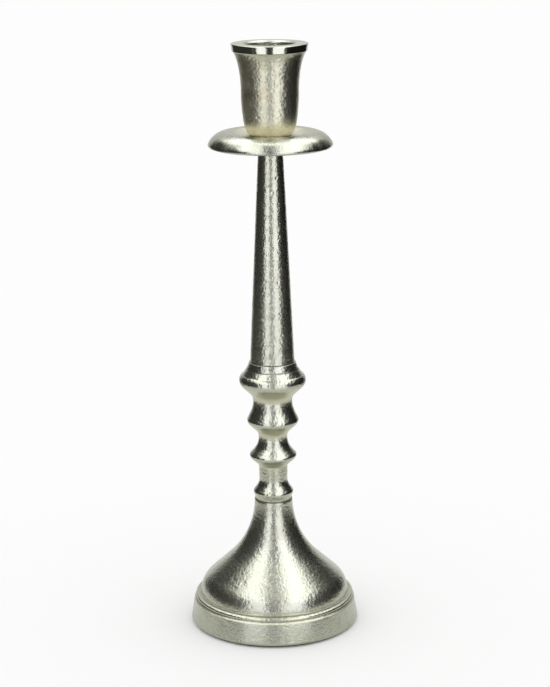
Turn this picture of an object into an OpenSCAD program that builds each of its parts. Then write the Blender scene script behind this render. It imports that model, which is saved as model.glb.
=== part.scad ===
// Altar candlestick: a turned column of sand-cast pieces on a hollow bell foot, drawn up by one
// threaded rod, with a drip pan held under a candle cup that screws down on top.
// Every outline is turned about the Z axis. The felt stands on the floor at Z = 0.

/* [Felt ring] */
// Thickness of the felt ring under the foot
felt_t = 0.8; // [0.6:0.1:2]
// Width of the felt ring
felt_w = 3.6; // [2.5:0.1:3.8]
// Step from the outer edge of the foot in to the felt
felt_inset = 1.8; // [1.4:0.1:2]

/* [Foot band] */
// Diameter of the foot at its lower edge
foot_d = 81.2; // [74:0.1:92]
// Rounding of the foot's lower edge
foot_round = 1.2; // [0.8:0.1:1.4]
// Height of the satin band
band_h = 10.6; // [9.8:0.1:11.2]
// How far the satin band flares out from its top to its lower edge, on the radius
band_flare = 1.6; // [1.2:0.1:2]
// Width of the flat ring of metal round the open underside
rim_w = 5.8; // [5.6:0.1:6.6]

/* [Foot bead] */
// Step in from the top of the band to the bead above it, on the radius
foot_bead_step = 0.6; // [0.4:0.1:0.8]
// Radius of the bead's section
foot_bead_round = 1.1; // [0.9:0.05:1.3]
// Angle above and below its middle that the bead is round through
foot_bead_turn = 50; // [44:1:60]
// Depth of the groove on each side of the bead
groove_depth = 0.35; // [0.2:0.05:0.5]
// Width of the groove on each side of the bead
groove_w = 0.5; // [0.4:0.05:0.7]
// Step in from the bead to where the cove above it begins, on the radius
cove_step = 1.5; // [1.3:0.1:1.7]
// Radius of the cove between the bead and the bell
cove_round = 2.8; // [2.6:0.1:3.2]
// Angle that the cove turns up through
cove_turn = 60; // [50:1:70]

/* [Bell] */
// Height of the whole base casting
base_h = 60.8; // [57.6:0.1:65.6]
// Step in from the start of the cove to the bell's shoulder, on the radius
shoulder_step = 0.9; // [0.6:0.1:1.4]
// Height of the widest part of the shoulder
shoulder_h = 13.2; // [12:0.1:14]
// Rounding of the shoulder
shoulder_round = 12.6; // [9:0.1:14]
// Radius of the bell's hollow sweep up to the seat
bell_sweep = 40.5; // [34:0.5:42]
// Diameter at which the bell's sweep would stand upright
bell_neck_d = 18.3; // [17.9:0.1:19.3]
// How far above the seat the sweep would stand upright
bell_neck_rise = 0.4; // [0:0.1:2.4]
// Wall of the bell casting
bell_wall = 3.4; // [2.6:0.1:4]
// Thickness of solid metal in the crown of the bell
crown_t = 18.6; // [15.6:0.1:21.6]

/* [Baluster] */
// Height of the baluster
baluster_h = 68.4; // [67.8:0.1:72.4]
// Diameter of the short neck just above the foot
foot_neck_d = 17.4; // [16.8:0.1:18]
// Height of the short neck above the seat
foot_neck_h = 0.7; // [0.5:0.1:1]
// Diameter of the small ring
ring_d = 19.3; // [18.8:0.1:20.4]
// Height of the small ring above the seat
ring_h = 3.6; // [3.2:0.1:4.1]
// Rounding of the small ring
ring_round = 1.6; // [1.2:0.1:2]
// Diameter of the lower neck at its narrowest
low_neck_d = 13.6; // [13:0.1:14.2]
// Height where the lower neck is narrowest
low_neck_h = 10.1; // [9.4:0.1:11]
// Diameter at the top of the lower neck
low_neck_top_d = 13.8; // [13.4:0.1:14.4]
// Height where the lower neck meets the lower bead
low_neck_top_h = 16.5; // [16:0.1:17]
// Hollow of the lower neck above the ring
low_neck_round = 6; // [4:0.1:7]
// Hollow of the lower neck below the lower bead
low_neck_top_round = 1.2; // [0.8:0.1:1.6]
// Diameter of the lower bead
low_bead_d = 22.6; // [21:0.1:24]
// Height of the lower bead above the seat
low_bead_h = 22.1; // [21.6:0.1:22.8]
// Rounding of the lower bead, above its widest part
low_bead_round = 1.1; // [0.8:0.1:1.5]
// Rounding of the lower bead, below its widest part
low_bead_under = 2.3; // [1.8:0.1:2.8]
// Diameter of the middle neck
mid_neck_d = 13.8; // [13:0.1:15]
// Height of the middle neck above the seat
mid_neck_h = 31.2; // [30.4:0.1:32]
// Hollow of the middle neck's lower side
mid_neck_low_round = 9.8; // [7:0.1:11]
// Hollow of the middle neck's upper side
mid_neck_round = 4.6; // [3:0.1:5.4]
// Diameter of the middle bead
mid_bead_d = 24.8; // [23.5:0.1:26]
// Height of the middle bead above the seat
mid_bead_h = 39.6; // [39:0.1:40.4]
// Rounding of the middle bead, above its widest part
mid_bead_round = 1.8; // [1.4:0.1:2.6]
// Rounding of the middle bead, below its widest part
mid_bead_under = 2.9; // [2.2:0.1:3.6]
// Diameter of the upper neck
high_neck_d = 18.8; // [18:0.1:20]
// Height of the upper neck above the seat
high_neck_h = 49.2; // [48.5:0.1:49.9]
// Hollow of the upper neck's lower side
high_neck_low_round = 13; // [10:0.1:14]
// Hollow of the upper neck's upper side
high_neck_round = 5; // [3.5:0.1:6]
// Diameter of the large bead
big_bead_d = 32; // [30:0.1:33]
// Height of the large bead above the seat
big_bead_h = 59.5; // [59:0.1:60.2]
// Rounding of the large bead, above its widest part
big_bead_round = 3.3; // [2.8:0.1:4]
// Rounding of the large bead, below its widest part
big_bead_under = 4.6; // [3.6:0.1:6]
// Angle at which the large bead's rounding runs out to the collar
big_bead_turn = 60; // [50:1:66]
// Diameter at the foot of the collar
collar_d = 24.7; // [24.2:0.1:25.2]
// Diameter at the top of the collar
collar_top_d = 22.5; // [22:0.1:23]
// Height of the collar
collar_h = 3.3; // [2.8:0.1:3.8]
// Rounding of the collar's top edge
collar_round = 0.4; // [0.2:0.1:0.6]

/* [Tapered shaft] */
// Length of the shaft
shaft_l = 105.5; // [90:0.1:140]
// Diameter of the shaft at its foot
shaft_foot_d = 21.2; // [20:0.1:21.6]
// Diameter of the shaft at its top
shaft_top_d = 11.3; // [10.8:0.1:13]
// How far the taper swells past a straight line, on the radius
shaft_swell = 0.1; // [0:0.05:0.4]
// Small break of the shaft's end edges
shaft_break = 0.25; // [0.1:0.05:0.4]

/* [Drip pan] */
// Diameter of the drip pan
pan_d = 58.2; // [54:0.1:64]
// Thickness of the pan where the cup stands
pan_t = 2.6; // [2.4:0.1:3.4]
// Radius that the pan's edge is turned down over
pan_edge_round = 9.6; // [7:0.1:11]
// Angle that the pan's edge is turned down through
pan_edge_turn = 64; // [55:1:75]
// How far the middle of the pan, where the cup stands, lies below the pan's crest
pan_dish = 1.9; // [0.6:0.1:2.2]
// Flat rim of the pan's seat round the cup's foot
pan_seat_w = 0.5; // [0.3:0.1:1]

/* [Candle cup] */
// Height of the candle cup
cup_h = 42.4; // [40:0.1:46]
// Diameter of the cup's flat underside
cup_foot_d = 18; // [17:0.1:18.6]
// How far the cup's lower edge is rounded out, on the radius
cup_foot_w = 3.6; // [3.2:0.1:3.8]
// Height of the rounding of the cup's lower edge
cup_foot_rise = 7.9; // [5:0.1:9]
// How far the foot's round edge turns up, in degrees
cup_foot_turn = 70; // [60:1:80]
// Diameter of the cup at its waist
cup_waist_d = 27; // [26.6:0.1:28]
// Height of the waist above the cup's underside
cup_waist_h = 20.1; // [17.9:0.1:20.9]
// Diameter of the flare just under the lip
cup_flare_d = 34.5; // [33.6:0.1:34.8]
// Angle that the flare turns out through, as part of an ellipse
cup_flare_turn = 71; // [60:1:80]
// Height of the polished lip band
lip_h = 3.4; // [2.8:0.1:3.8]
// Diameter of the lip at its lower edge
lip_low_d = 35; // [34.8:0.1:35.2]
// Diameter of the lip at its upper edge
lip_d = 35.9; // [35.4:0.1:37]
// Rounding of the lip's upper edge
lip_round = 0.5; // [0.3:0.1:0.8]
// Bore for the candle
candle_bore_d = 23; // [22.5:0.1:23.4]
// Depth of the candle bore
candle_depth = 25; // [20:0.5:27]
// Width of the chamfer at the mouth of the bore
mouth_chamfer = 0.8; // [0.4:0.1:1.4]

/* [Threaded parts] */
// Diameter of the tie rod and of the cup's stud
thread_d = 6; // [5:0.1:6.4]
// Pitch of the thread
thread_pitch = 1; // [0.8:0.05:1.25]
// Turns of the stud's thread in the shaft
stud_turns = 10; // [8:1:12]
// Length of the stud held in the cup
stud_in_cup = 9; // [7:0.5:10]
// Length of the tie rod's thread in the shaft
rod_in_shaft = 16; // [12:0.5:24]
// Length of rod left showing under the nut
rod_tail = 3; // [2:0.1:5]
// Free depth left at the end of each tapped hole
tap_relief = 1.5; // [1:0.1:3]
// Width across the flats of the nut
nut_af = 10; // [9:0.1:11]
// Height of the nut
nut_h = 5; // [4:0.1:6]
// Diameter of the broad washer
washer_d = 18; // [16:0.1:19]
// Thickness of the broad washer
washer_t = 1.6; // [1.2:0.1:2]
// Diameter of the spring washer
spring_washer_d = 11.8; // [11:0.1:13]
// Thickness of the spring washer
spring_washer_t = 1.6; // [1.2:0.1:2]
// Width of the slit in the spring washer
spring_slit = 0.9; // [0.6:0.1:1.4]

/* [Fits] */
// Room on the radius between a thread and its tapped hole
thread_gap = 0.05; // [0.02:0.01:0.09]
// Room on the radius between a thread and a plain hole
hole_gap = 0.3; // [0.2:0.05:0.5]

/* [Hidden] */

$fn = 96;
arc_steps = 12;
// Overshoot of a cut past the face that it opens
cut = 1;
// Break of a thread's end, on the radius
thread_break = 0.6;

nickel = "#b7b6a8";
polished = "#cfcec4";
zinc = "#a9adb0";
baize = "#2c2b28";

// Heights of the faces that the pieces stack on
base_z = felt_t;
seat_z = base_z + base_h;
collar_z = seat_z + baluster_h;
pan_z = collar_z + shaft_l;
cup_z = pan_z + pan_t;

// Radii of the foot's turned steps, each taken in from the one before it
band_top_r = foot_d / 2 - band_flare;
foot_bead_r = band_top_r - foot_bead_step;
cove_r = foot_bead_r - cove_step;

// The bell's crest and neck
shoulder = [cove_r - shoulder_step, shoulder_h];
bell_neck = [bell_neck_d / 2, base_h + bell_neck_rise];

// The crown's flat underside, where the washers bear
ceiling_z = seat_z - crown_t;
nut_z = ceiling_z - washer_t - spring_washer_t - nut_h;
rod_z = nut_z - rod_tail;
rod_l = collar_z + rod_in_shaft - rod_z;

stud_in_shaft = stud_turns * thread_pitch;
stud_z = pan_z - stud_in_shaft;
stud_l = stud_in_shaft + pan_t + stud_in_cup;

tapped_d = thread_d + 2 * thread_gap;
plain_d = thread_d + 2 * hole_gap;

// Points of an arc, from one angle to another
function arc(centre, radius, from, to, steps = arc_steps) =
    [for (i = [0 : steps])
        let (a = from + (to - from) * i / steps)
        centre + radius * [cos(a), sin(a)]];

function reversed(points) = [for (i = [len(points) - 1 : -1 : 0]) points[i]];

// The largest sum of two radii that still joins a crest to a neck in an S
function ogee_room(fall, rise) = (rise * rise + fall * fall) / (2 * fall);

// How far two radii must shrink to leave room for each other between a crest and a neck
function ogee_fit(crest, neck, crest_round, neck_round) =
    min(1, ogee_room(crest.x - neck.x, abs(neck.y - crest.y)) / (crest_round + neck_round));

// Outline from a crest to a neck, both upright there: an arc on the crest, the straight line that
// touches both arcs, and a hollow arc into the neck. Radii too large for the stretch are limited.
function ogee(crest, neck, crest_round, neck_round) =
    let (
        side = sign(neck.y - crest.y),
        rise = abs(neck.y - crest.y),
        fall = crest.x - neck.x,
        fit = ogee_fit(crest, neck, crest_round, neck_round),
        r1 = crest_round * fit,
        r2 = neck_round * fit,
        sum = r1 + r2,
        line = sqrt(max(0, rise * rise + (sum - fall) * (sum - fall) - sum * sum)),
        turn = atan2(rise, sum - fall) - atan2(line, sum)
    )
    concat(
        [for (p = arc([0, 0], r1, 0, turn)) [crest.x - r1 + p.x, crest.y + side * p.y]],
        [for (p = arc([0, 0], r2, turn, 0)) [neck.x + r2 - p.x, neck.y - side * p.y]]
    );

// A turned solid from an outline that starts and ends on the axis
module turned(points) {
    rotate_extrude() polygon(points);
}

// A round hole along the axis
module hole(d, from, to) {
    translate([0, 0, from]) cylinder(d = d, h = to - from);
}

// A straight round bar with both ends broken
module bar(d, l) {
    turned([
        [0, 0],
        [d / 2 - thread_break, 0],
        [d / 2, thread_break],
        [d / 2, l - thread_break],
        [d / 2 - thread_break, l],
        [0, l]
    ]);
}

// A flat ring standing at Z = 0
module flat_ring(d, bore, t) {
    difference() {
        cylinder(d = d, h = t);
        hole(bore, -cut, t + cut);
    }
}

module felt_ring() {
    outer = foot_d - 2 * felt_inset;
    color(baize) flat_ring(outer, outer - 2 * felt_w, felt_t);
}

// Outline of the bell, from its shoulder up to the seat that cuts it off
module bell_outline() {
    intersection() {
        polygon(concat(
            [[0, 0], [shoulder.x, 0]],
            ogee(shoulder, bell_neck, shoulder_round, bell_sweep),
            [[0, bell_neck.y]]
        ));
        square([foot_d, base_h]);
    }
}

// Outline of the satin band, the grooved bead on it and the cove up to the bell
module band_outline() {
    bead_z = band_h + groove_w + foot_bead_round;
    cove_z = bead_z + foot_bead_round + groove_w;
    groove_r = foot_bead_r - foot_bead_round;
    cove_centre = [cove_r, cove_z + cove_round];
    polygon(concat(
        [[0, 0]],
        arc([foot_d / 2 - foot_round, foot_round], foot_round, -90, 0),
        [[band_top_r, band_h], [band_top_r - groove_depth, band_h + groove_w / 2]],
        arc([groove_r, bead_z], foot_bead_round, -foot_bead_turn, foot_bead_turn),
        [[cove_r - groove_depth, cove_z - groove_w / 2]],
        arc(cove_centre, cove_round, 270, 270 - cove_turn),
        [[0, cove_centre.y]]
    ));
}

// Outline of the hollow: a straight rim, then a wall of even thickness up to the crown
module hollow_outline() {
    rim_r = foot_d / 2 - rim_w;
    wall = [bell_wall, 0];
    intersection() {
        polygon(concat(
            [[0, -cut], [rim_r, -cut], [rim_r, shoulder_h - bell_wall]],
            ogee(shoulder - wall, bell_neck - wall, shoulder_round - bell_wall, bell_sweep + bell_wall),
            [[0, bell_neck.y]]
        ));
        translate([0, -cut]) square([foot_d, base_h - crown_t + cut]);
    }
}

module bell_base() {
    color(nickel) translate([0, 0, base_z]) difference() {
        rotate_extrude() difference() {
            union() {
                bell_outline();
                band_outline();
            }
            hollow_outline();
        }
        hole(plain_d, base_h - crown_t - cut, base_h + cut);
    }
}

module baluster() {
    foot_neck = [foot_neck_d / 2, foot_neck_h];
    ring = [ring_d / 2, ring_h];
    low_neck = [low_neck_d / 2, low_neck_h];
    low_neck_top = [low_neck_top_d / 2, low_neck_top_h];
    low_bead = [low_bead_d / 2, low_bead_h];
    mid_neck = [mid_neck_d / 2, mid_neck_h];
    mid_bead = [mid_bead_d / 2, mid_bead_h];
    high_neck = [high_neck_d / 2, high_neck_h];
    big_bead = [big_bead_d / 2, big_bead_h];
    collar_foot = [collar_d / 2, baluster_h - collar_h];
    collar_edge = [collar_top_d / 2 - collar_round, baluster_h - collar_round];
    color(polished) translate([0, 0, seat_z]) difference() {
        turned(concat(
            [[0, 0], [foot_neck.x, 0]],
            reversed(ogee(ring, foot_neck, ring_round, ring_round / 2)),
            ogee(ring, low_neck, ring_round, low_neck_round),
            reversed(ogee(low_bead, low_neck_top, low_bead_under, low_neck_top_round)),
            ogee(low_bead, mid_neck, low_bead_round, mid_neck_low_round),
            reversed(ogee(mid_bead, mid_neck, mid_bead_under, mid_neck_round)),
            ogee(mid_bead, high_neck, mid_bead_round, high_neck_low_round),
            reversed(ogee(big_bead, high_neck, big_bead_under, high_neck_round)),
            arc(big_bead - [big_bead_round, 0], big_bead_round, 0, big_bead_turn),
            [collar_foot],
            arc(collar_edge, collar_round, 0, 90),
            [[0, baluster_h]]
        ));
        hole(plain_d, -cut, baluster_h + cut);
    }
}

// Radius of the shaft at a share of its length: a straight taper with a slight swell
function shaft_r(t) =
    shaft_foot_d / 2 * (1 - t) + shaft_top_d / 2 * t + shaft_swell * 4 * t * (1 - t);

module tapered_shaft() {
    color(nickel) translate([0, 0, collar_z]) difference() {
        turned(concat(
            [[0, 0], [shaft_foot_d / 2 - shaft_break, 0], [shaft_foot_d / 2, shaft_break]],
            [for (i = [1 : arc_steps - 1]) [shaft_r(i / arc_steps), shaft_l * i / arc_steps]],
            [[shaft_top_d / 2, shaft_l - shaft_break], [shaft_top_d / 2 - shaft_break, shaft_l]],
            [[0, shaft_l]]
        ));
        hole(tapped_d, -cut, rod_in_shaft + tap_relief);
        hole(tapped_d, shaft_l - stud_in_shaft - tap_relief, shaft_l + cut);
    }
}

// A round plate of even thickness, dished for the cup, its edge turned down over a radius and rounded off
module drip_pan() {
    lip_r = pan_t / 2;
    lip_reach = pan_edge_round - lip_r;
    crest_r = pan_d / 2 - lip_r - lip_reach * sin(pan_edge_turn);
    bend = [crest_r, pan_t + pan_dish - pan_edge_round];
    lip_angle = 90 - pan_edge_turn;
    lip = bend + lip_reach * [cos(lip_angle), sin(lip_angle)];
    // From the seat to the crest: a hollow arc that meets the crest's own arc smoothly
    seat_r = cup_foot_d / 2 + pan_seat_w;
    swing = ogee_room(pan_dish, crest_r - seat_r);
    dish_round = swing - pan_edge_round;
    dish_turn = asin((crest_r - seat_r) / swing);
    dish = [seat_r, pan_t + dish_round];
    color(nickel) translate([0, 0, pan_z]) difference() {
        turned(concat(
            [[0, 0]],
            arc(dish, dish_round + pan_t, 270, 270 + dish_turn),
            arc(bend, pan_edge_round - pan_t, 90 + dish_turn, lip_angle),
            arc(lip, lip_r, lip_angle - 180, lip_angle),
            arc(bend, pan_edge_round, lip_angle, 90 + dish_turn),
            arc(dish, dish_round, 270 + dish_turn, 270),
            [[0, pan_t]]
        ));
        hole(plain_d, -cut, pan_t + cut);
    }
}

module candle_cup() {
    foot_r = cup_foot_d / 2;
    wall_r = foot_r + cup_foot_w;
    waist_r = cup_waist_d / 2;
    lip_z = cup_h - lip_h;
    // Lower edge: part of an ellipse that is level at the seat
    edge_w = cup_foot_w / sin(cup_foot_turn);
    edge_h = cup_foot_rise / (1 - cos(cup_foot_turn));
    foot_edge = [for (i = [0 : arc_steps])
        let (a = cup_foot_turn * i / arc_steps)
        [foot_r + edge_w * sin(a), edge_h * (1 - cos(a))]];
    // Side of the cup below the waist: a long arc that is upright at the waist
    side_rise = cup_waist_h - cup_foot_rise;
    side_round = ogee_room(waist_r - wall_r, side_rise);
    side_turn = asin(side_rise / side_round);
    // Flare: part of an ellipse that is upright at the waist
    flare_w = (cup_flare_d / 2 - waist_r) / (1 - cos(cup_flare_turn));
    flare_h = (lip_z - cup_waist_h) / sin(cup_flare_turn);
    flare = [for (i = [1 : arc_steps])
        let (a = cup_flare_turn * i / arc_steps)
        [waist_r + flare_w * (1 - cos(a)), cup_waist_h + flare_h * sin(a)]];
    lip_edge = [lip_d / 2 - lip_round, cup_h - lip_round];
    color(nickel) translate([0, 0, cup_z]) difference() {
        turned(concat(
            [[0, 0]],
            foot_edge,
            arc([waist_r - side_round, cup_waist_h], side_round, -side_turn, 0),
            flare,
            [[lip_low_d / 2, lip_z]],
            arc(lip_edge, lip_round, 0, 90),
            [[0, cup_h]]
        ));
        hole(candle_bore_d, cup_h - candle_depth, cup_h + cut);
        translate([0, 0, cup_h - mouth_chamfer])
            cylinder(d1 = candle_bore_d, d2 = candle_bore_d + 2 * mouth_chamfer, h = mouth_chamfer);
        hole(tapped_d, -cut, stud_in_cup + tap_relief);
    }
}

module cup_stud() {
    color(zinc) translate([0, 0, stud_z]) bar(thread_d, stud_l);
}

module tie_rod() {
    color(zinc) translate([0, 0, rod_z]) bar(thread_d, rod_l);
}

module broad_washer() {
    color(zinc) translate([0, 0, ceiling_z - washer_t]) flat_ring(washer_d, plain_d, washer_t);
}

// A split ring, pressed flat by the nut
module spring_washer() {
    color(zinc) translate([0, 0, nut_z + nut_h]) difference() {
        flat_ring(spring_washer_d, plain_d, spring_washer_t);
        translate([0, -spring_slit / 2, -cut])
            cube([spring_washer_d, spring_slit, spring_washer_t + 2 * cut]);
    }
}

// A hexagon whose corners are turned off at both faces
module hex_nut() {
    corner_r = nut_af / 2 / cos(30);
    bevel = (corner_r - nut_af / 2) * tan(30);
    color(zinc) translate([0, 0, nut_z]) difference() {
        intersection() {
            cylinder(r = corner_r, h = nut_h, $fn = 6);
            turned([
                [0, 0],
                [nut_af / 2, 0],
                [corner_r, bevel],
                [corner_r, nut_h - bevel],
                [nut_af / 2, nut_h],
                [0, nut_h]
            ]);
        }
        hole(tapped_d, -cut, nut_h + cut);
    }
}

felt_ring();
bell_base();
baluster();
tapered_shaft();
drip_pan();
candle_cup();
cup_stud();
tie_rod();
broad_washer();
spring_washer();
hex_nut();
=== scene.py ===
"""Looks of a sand-cast altar candlestick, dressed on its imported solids.

Each casting is a surface of revolution on a grid of (way along the outline, angle round the axis), with the
sand's relief taken off inwards, so no piece outgrows its solid. The pieces' sizes are in millimetres, and the
studio's in metres.
"""

import logging
import math
from dataclasses import dataclass, field
from enum import Enum
from typing import Any

import bpy
import numpy as np
from mathutils import Euler, Matrix, Vector


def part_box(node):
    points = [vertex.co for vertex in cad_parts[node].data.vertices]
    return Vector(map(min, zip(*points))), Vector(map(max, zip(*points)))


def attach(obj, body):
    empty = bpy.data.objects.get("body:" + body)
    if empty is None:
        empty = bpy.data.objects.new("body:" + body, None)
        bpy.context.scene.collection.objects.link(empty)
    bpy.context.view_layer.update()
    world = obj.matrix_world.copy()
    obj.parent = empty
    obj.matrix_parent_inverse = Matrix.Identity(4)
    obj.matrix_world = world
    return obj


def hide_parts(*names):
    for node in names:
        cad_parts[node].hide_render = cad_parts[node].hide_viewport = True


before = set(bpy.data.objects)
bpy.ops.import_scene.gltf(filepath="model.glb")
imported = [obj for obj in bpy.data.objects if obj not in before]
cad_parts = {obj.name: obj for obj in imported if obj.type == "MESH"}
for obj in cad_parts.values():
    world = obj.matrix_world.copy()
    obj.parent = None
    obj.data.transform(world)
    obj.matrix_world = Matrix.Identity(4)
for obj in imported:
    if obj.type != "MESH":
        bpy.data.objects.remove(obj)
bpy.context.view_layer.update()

Array = np.ndarray
Colour = tuple[float, float, float]
Pair = tuple[float, float]

MM = 0.001
FULL_TURN = 2.0 * math.pi
SHARP_EDGE_DEG = 38.0
ARC_STEP_DEG = 12.0
NOISE_MIDDLE = 0.5
# Per-point layers: grime, which also paints shade under the pan's edge, and dullness, whose paler tint paints
# light.
GRIME_AND_SHADE = "grime_and_shade"
DULL_AND_PAINTED_LIGHT = "dull"

log = logging.getLogger("candlestick")


class Zone(Enum):
    """How a stretch of an outline was finished by the maker."""

    CAST = "sand-cast skin, only rubbed over"
    DRESSED = "sand-cast skin, dressed smoother"
    BRUSHED = "cast, then brushed soft"
    POLISHED = "turned and polished bright"
    BUFFED = "polished, then buffed pale by use"
    TURNED = "turned and rubbed"
    RUBBED = "rubbed smooth by hand"
    SATIN = "turned and left satin"
    RAW = "raw casting, hidden in use"
    MATE = "flat face against another piece"
    ZINC = "zinc-plated steel"
    FELT = "pressed felt"


# Shader maths


class Value:
    """A node's output with Python's operators, where each operation adds a Math node."""

    def __init__(self, tree: "ShaderTree", socket: bpy.types.NodeSocket | None) -> None:
        """Keeps the tree and the socket, which is None for a node without outputs."""
        self.tree = tree
        self.socket = socket

    def math(self, operation: str, *operands: Any) -> "Value":
        """Adds one Math node on values or numbers, in the node's order."""
        return self.tree.node("ShaderNodeMath", {"operation": operation}, dict(enumerate(operands)))

    def __add__(self, other: Any) -> "Value":
        """Sum."""
        return self.math("ADD", self, other)

    def __radd__(self, other: Any) -> "Value":
        """Sum with a number on the left."""
        return self.math("ADD", other, self)

    def __sub__(self, other: Any) -> "Value":
        """Difference."""
        return self.math("SUBTRACT", self, other)

    def __rsub__(self, other: Any) -> "Value":
        """Difference with a number on the left."""
        return self.math("SUBTRACT", other, self)

    def __mul__(self, other: Any) -> "Value":
        """Product."""
        return self.math("MULTIPLY", self, other)

    def __rmul__(self, other: Any) -> "Value":
        """Product with a number on the left."""
        return self.math("MULTIPLY", other, self)

    def step(self, low: float, high: float) -> "Value":
        """Rises smoothly from 0 at low to 1 at high."""
        inputs = {"Value": self, "From Min": low, "From Max": high}
        return self.tree.node("ShaderNodeMapRange", {"interpolation_type": "SMOOTHSTEP"}, inputs)


class ShaderTree:
    """Nodes of one material or world, emptied first."""

    LEVEL = (1.0, 1.0, 0.0)
    MIX_FIRST, MIX_SECOND, MIX_RESULT = 6, 7, 2

    def __init__(self, owner: bpy.types.Material | bpy.types.World) -> None:
        """Empties the owner's nodes.

        Args:
            owner: the material or the world.
        """
        owner.use_nodes = True
        self.nodes = owner.node_tree.nodes
        self.links = owner.node_tree.links
        self.nodes.clear()

    def node(
        self,
        kind: str,
        settings: dict[str, Any] | None = None,
        inputs: dict[str | int, Any] | None = None,
        output: str | int = 0,
    ) -> Value:
        """Adds any node.

        Args:
            kind: the node's type.
            settings: properties, set first.
            inputs: by socket name or number, a Value to link or a constant to set.
            output: the output to hand back.

        Returns:
            The wanted output.
        """
        made = self.nodes.new(kind)
        for name, value in (settings or {}).items():
            setattr(made, name, value)
        for key, value in (inputs or {}).items():
            socket = made.inputs[key]
            if isinstance(value, Value):
                self.links.new(value.socket, socket)
            elif isinstance(value, tuple) and len(value) == 3 and socket.type == "RGBA":
                socket.default_value = (*value, 1.0)
            else:
                socket.default_value = value
        return Value(self, made.outputs[output] if len(made.outputs) else None)

    def show(self, kind: str, inputs: dict[str | int, Any], target: str = "Material") -> None:
        """Adds a shader, and the output node of a Material or a World that shows it."""
        shader = self.node(kind, {}, inputs)
        self.node(f"ShaderNodeOutput{target}", {}, {"Surface": shader})

    def vector(self, operation: str, inputs: dict[str | int, Any], output: str | int = 0) -> Value:
        """Adds one Vector Math node."""
        return self.node("ShaderNodeVectorMath", {"operation": operation}, inputs, output)

    def bump(self, height: Value) -> Value:
        """Normal of a surface that is raised by a height in millimetres."""
        return self.node("ShaderNodeBump", {}, {"Strength": 1.0, "Distance": MM, "Height": height})

    def mixed(self, share: Value, first: Any, second: Any) -> Value:
        """Colour that goes from first at 0 to second at 1."""
        inputs = {0: share, self.MIX_FIRST: first, self.MIX_SECOND: second}
        return self.node("ShaderNodeMix", {"data_type": "RGBA"}, inputs, self.MIX_RESULT)

    def attribute(self, name: str) -> Value:
        """A piece's own number at each point."""
        return self.node("ShaderNodeAttribute", {"attribute_name": name}, output="Fac")

    def noise(self, place: Value, cell: float, detail: float = 2.0, rough: float = 0.5) -> Value:
        """Noise from 0 to 1.

        Args:
            place: coordinates in millimetres.
            cell: size of the largest spots, in millimetres.
            detail: octaves of finer noise.
            rough: weight of the finer octaves.

        Returns:
            The noise.
        """
        inputs = {"Vector": place, "Scale": 1.0 / cell, "Detail": detail, "Roughness": rough}
        return self.node("ShaderNodeTexNoise", {}, inputs)

    def millimetres(self) -> Value:
        """Object coordinates in millimetres."""
        place = self.node("ShaderNodeTexCoord", output="Object")
        return self.vector("SCALE", {0: place, "Scale": 1.0 / MM})

    def turning_place(self, place: Value, along: float) -> Value:
        """Coordinates for marks that run round the axis: radius and height, with a slow drift along the mark.

        Args:
            place: coordinates in millimetres.
            along: how fast the marks change along their own length, as a share.

        Returns:
            The coordinates.
        """
        flat = self.vector("MULTIPLY", {0: place, 1: self.LEVEL})
        radius = self.vector("LENGTH", {0: flat}, "Value")
        split = self.node("ShaderNodeSeparateXYZ", {}, {0: place})
        drift = split * along
        height = Value(self, split.socket.node.outputs["Z"])
        return self.node("ShaderNodeCombineXYZ", {}, {0: radius, 1: drift, 2: height})

    def rubbing_place(self, place: Value, rim_r: float, along: float) -> Value:
        """Coordinates for streaks over a rim: the way round it, with a slow drift along the streak.

        Args:
            place: coordinates in millimetres.
            rim_r: radius of the rim.
            along: how fast the streaks change along their own length, as a share.

        Returns:
            The coordinates.
        """
        flat = self.vector("MULTIPLY", {0: place, 1: self.LEVEL})
        out = self.vector("NORMALIZE", {0: flat})
        rim = self.vector("SCALE", {0: out, "Scale": rim_r})
        drift = self.vector("SCALE", {0: place, "Scale": along})
        return self.vector("ADD", {0: rim, 1: drift})


# Finishes


@dataclass(frozen=True)
class Finish:
    """A named finish, which its own kind dresses."""

    name: str

    def material(self) -> bpy.types.Material:
        """Makes a material and dresses it.

        Returns:
            The material.
        """
        made = bpy.data.materials.new(self.name)
        self.dress(ShaderTree(made))
        return made

    def dress(self, tree: ShaderTree) -> None:
        """Adds the finish's nodes to an empty tree."""
        raise NotImplementedError


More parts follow.
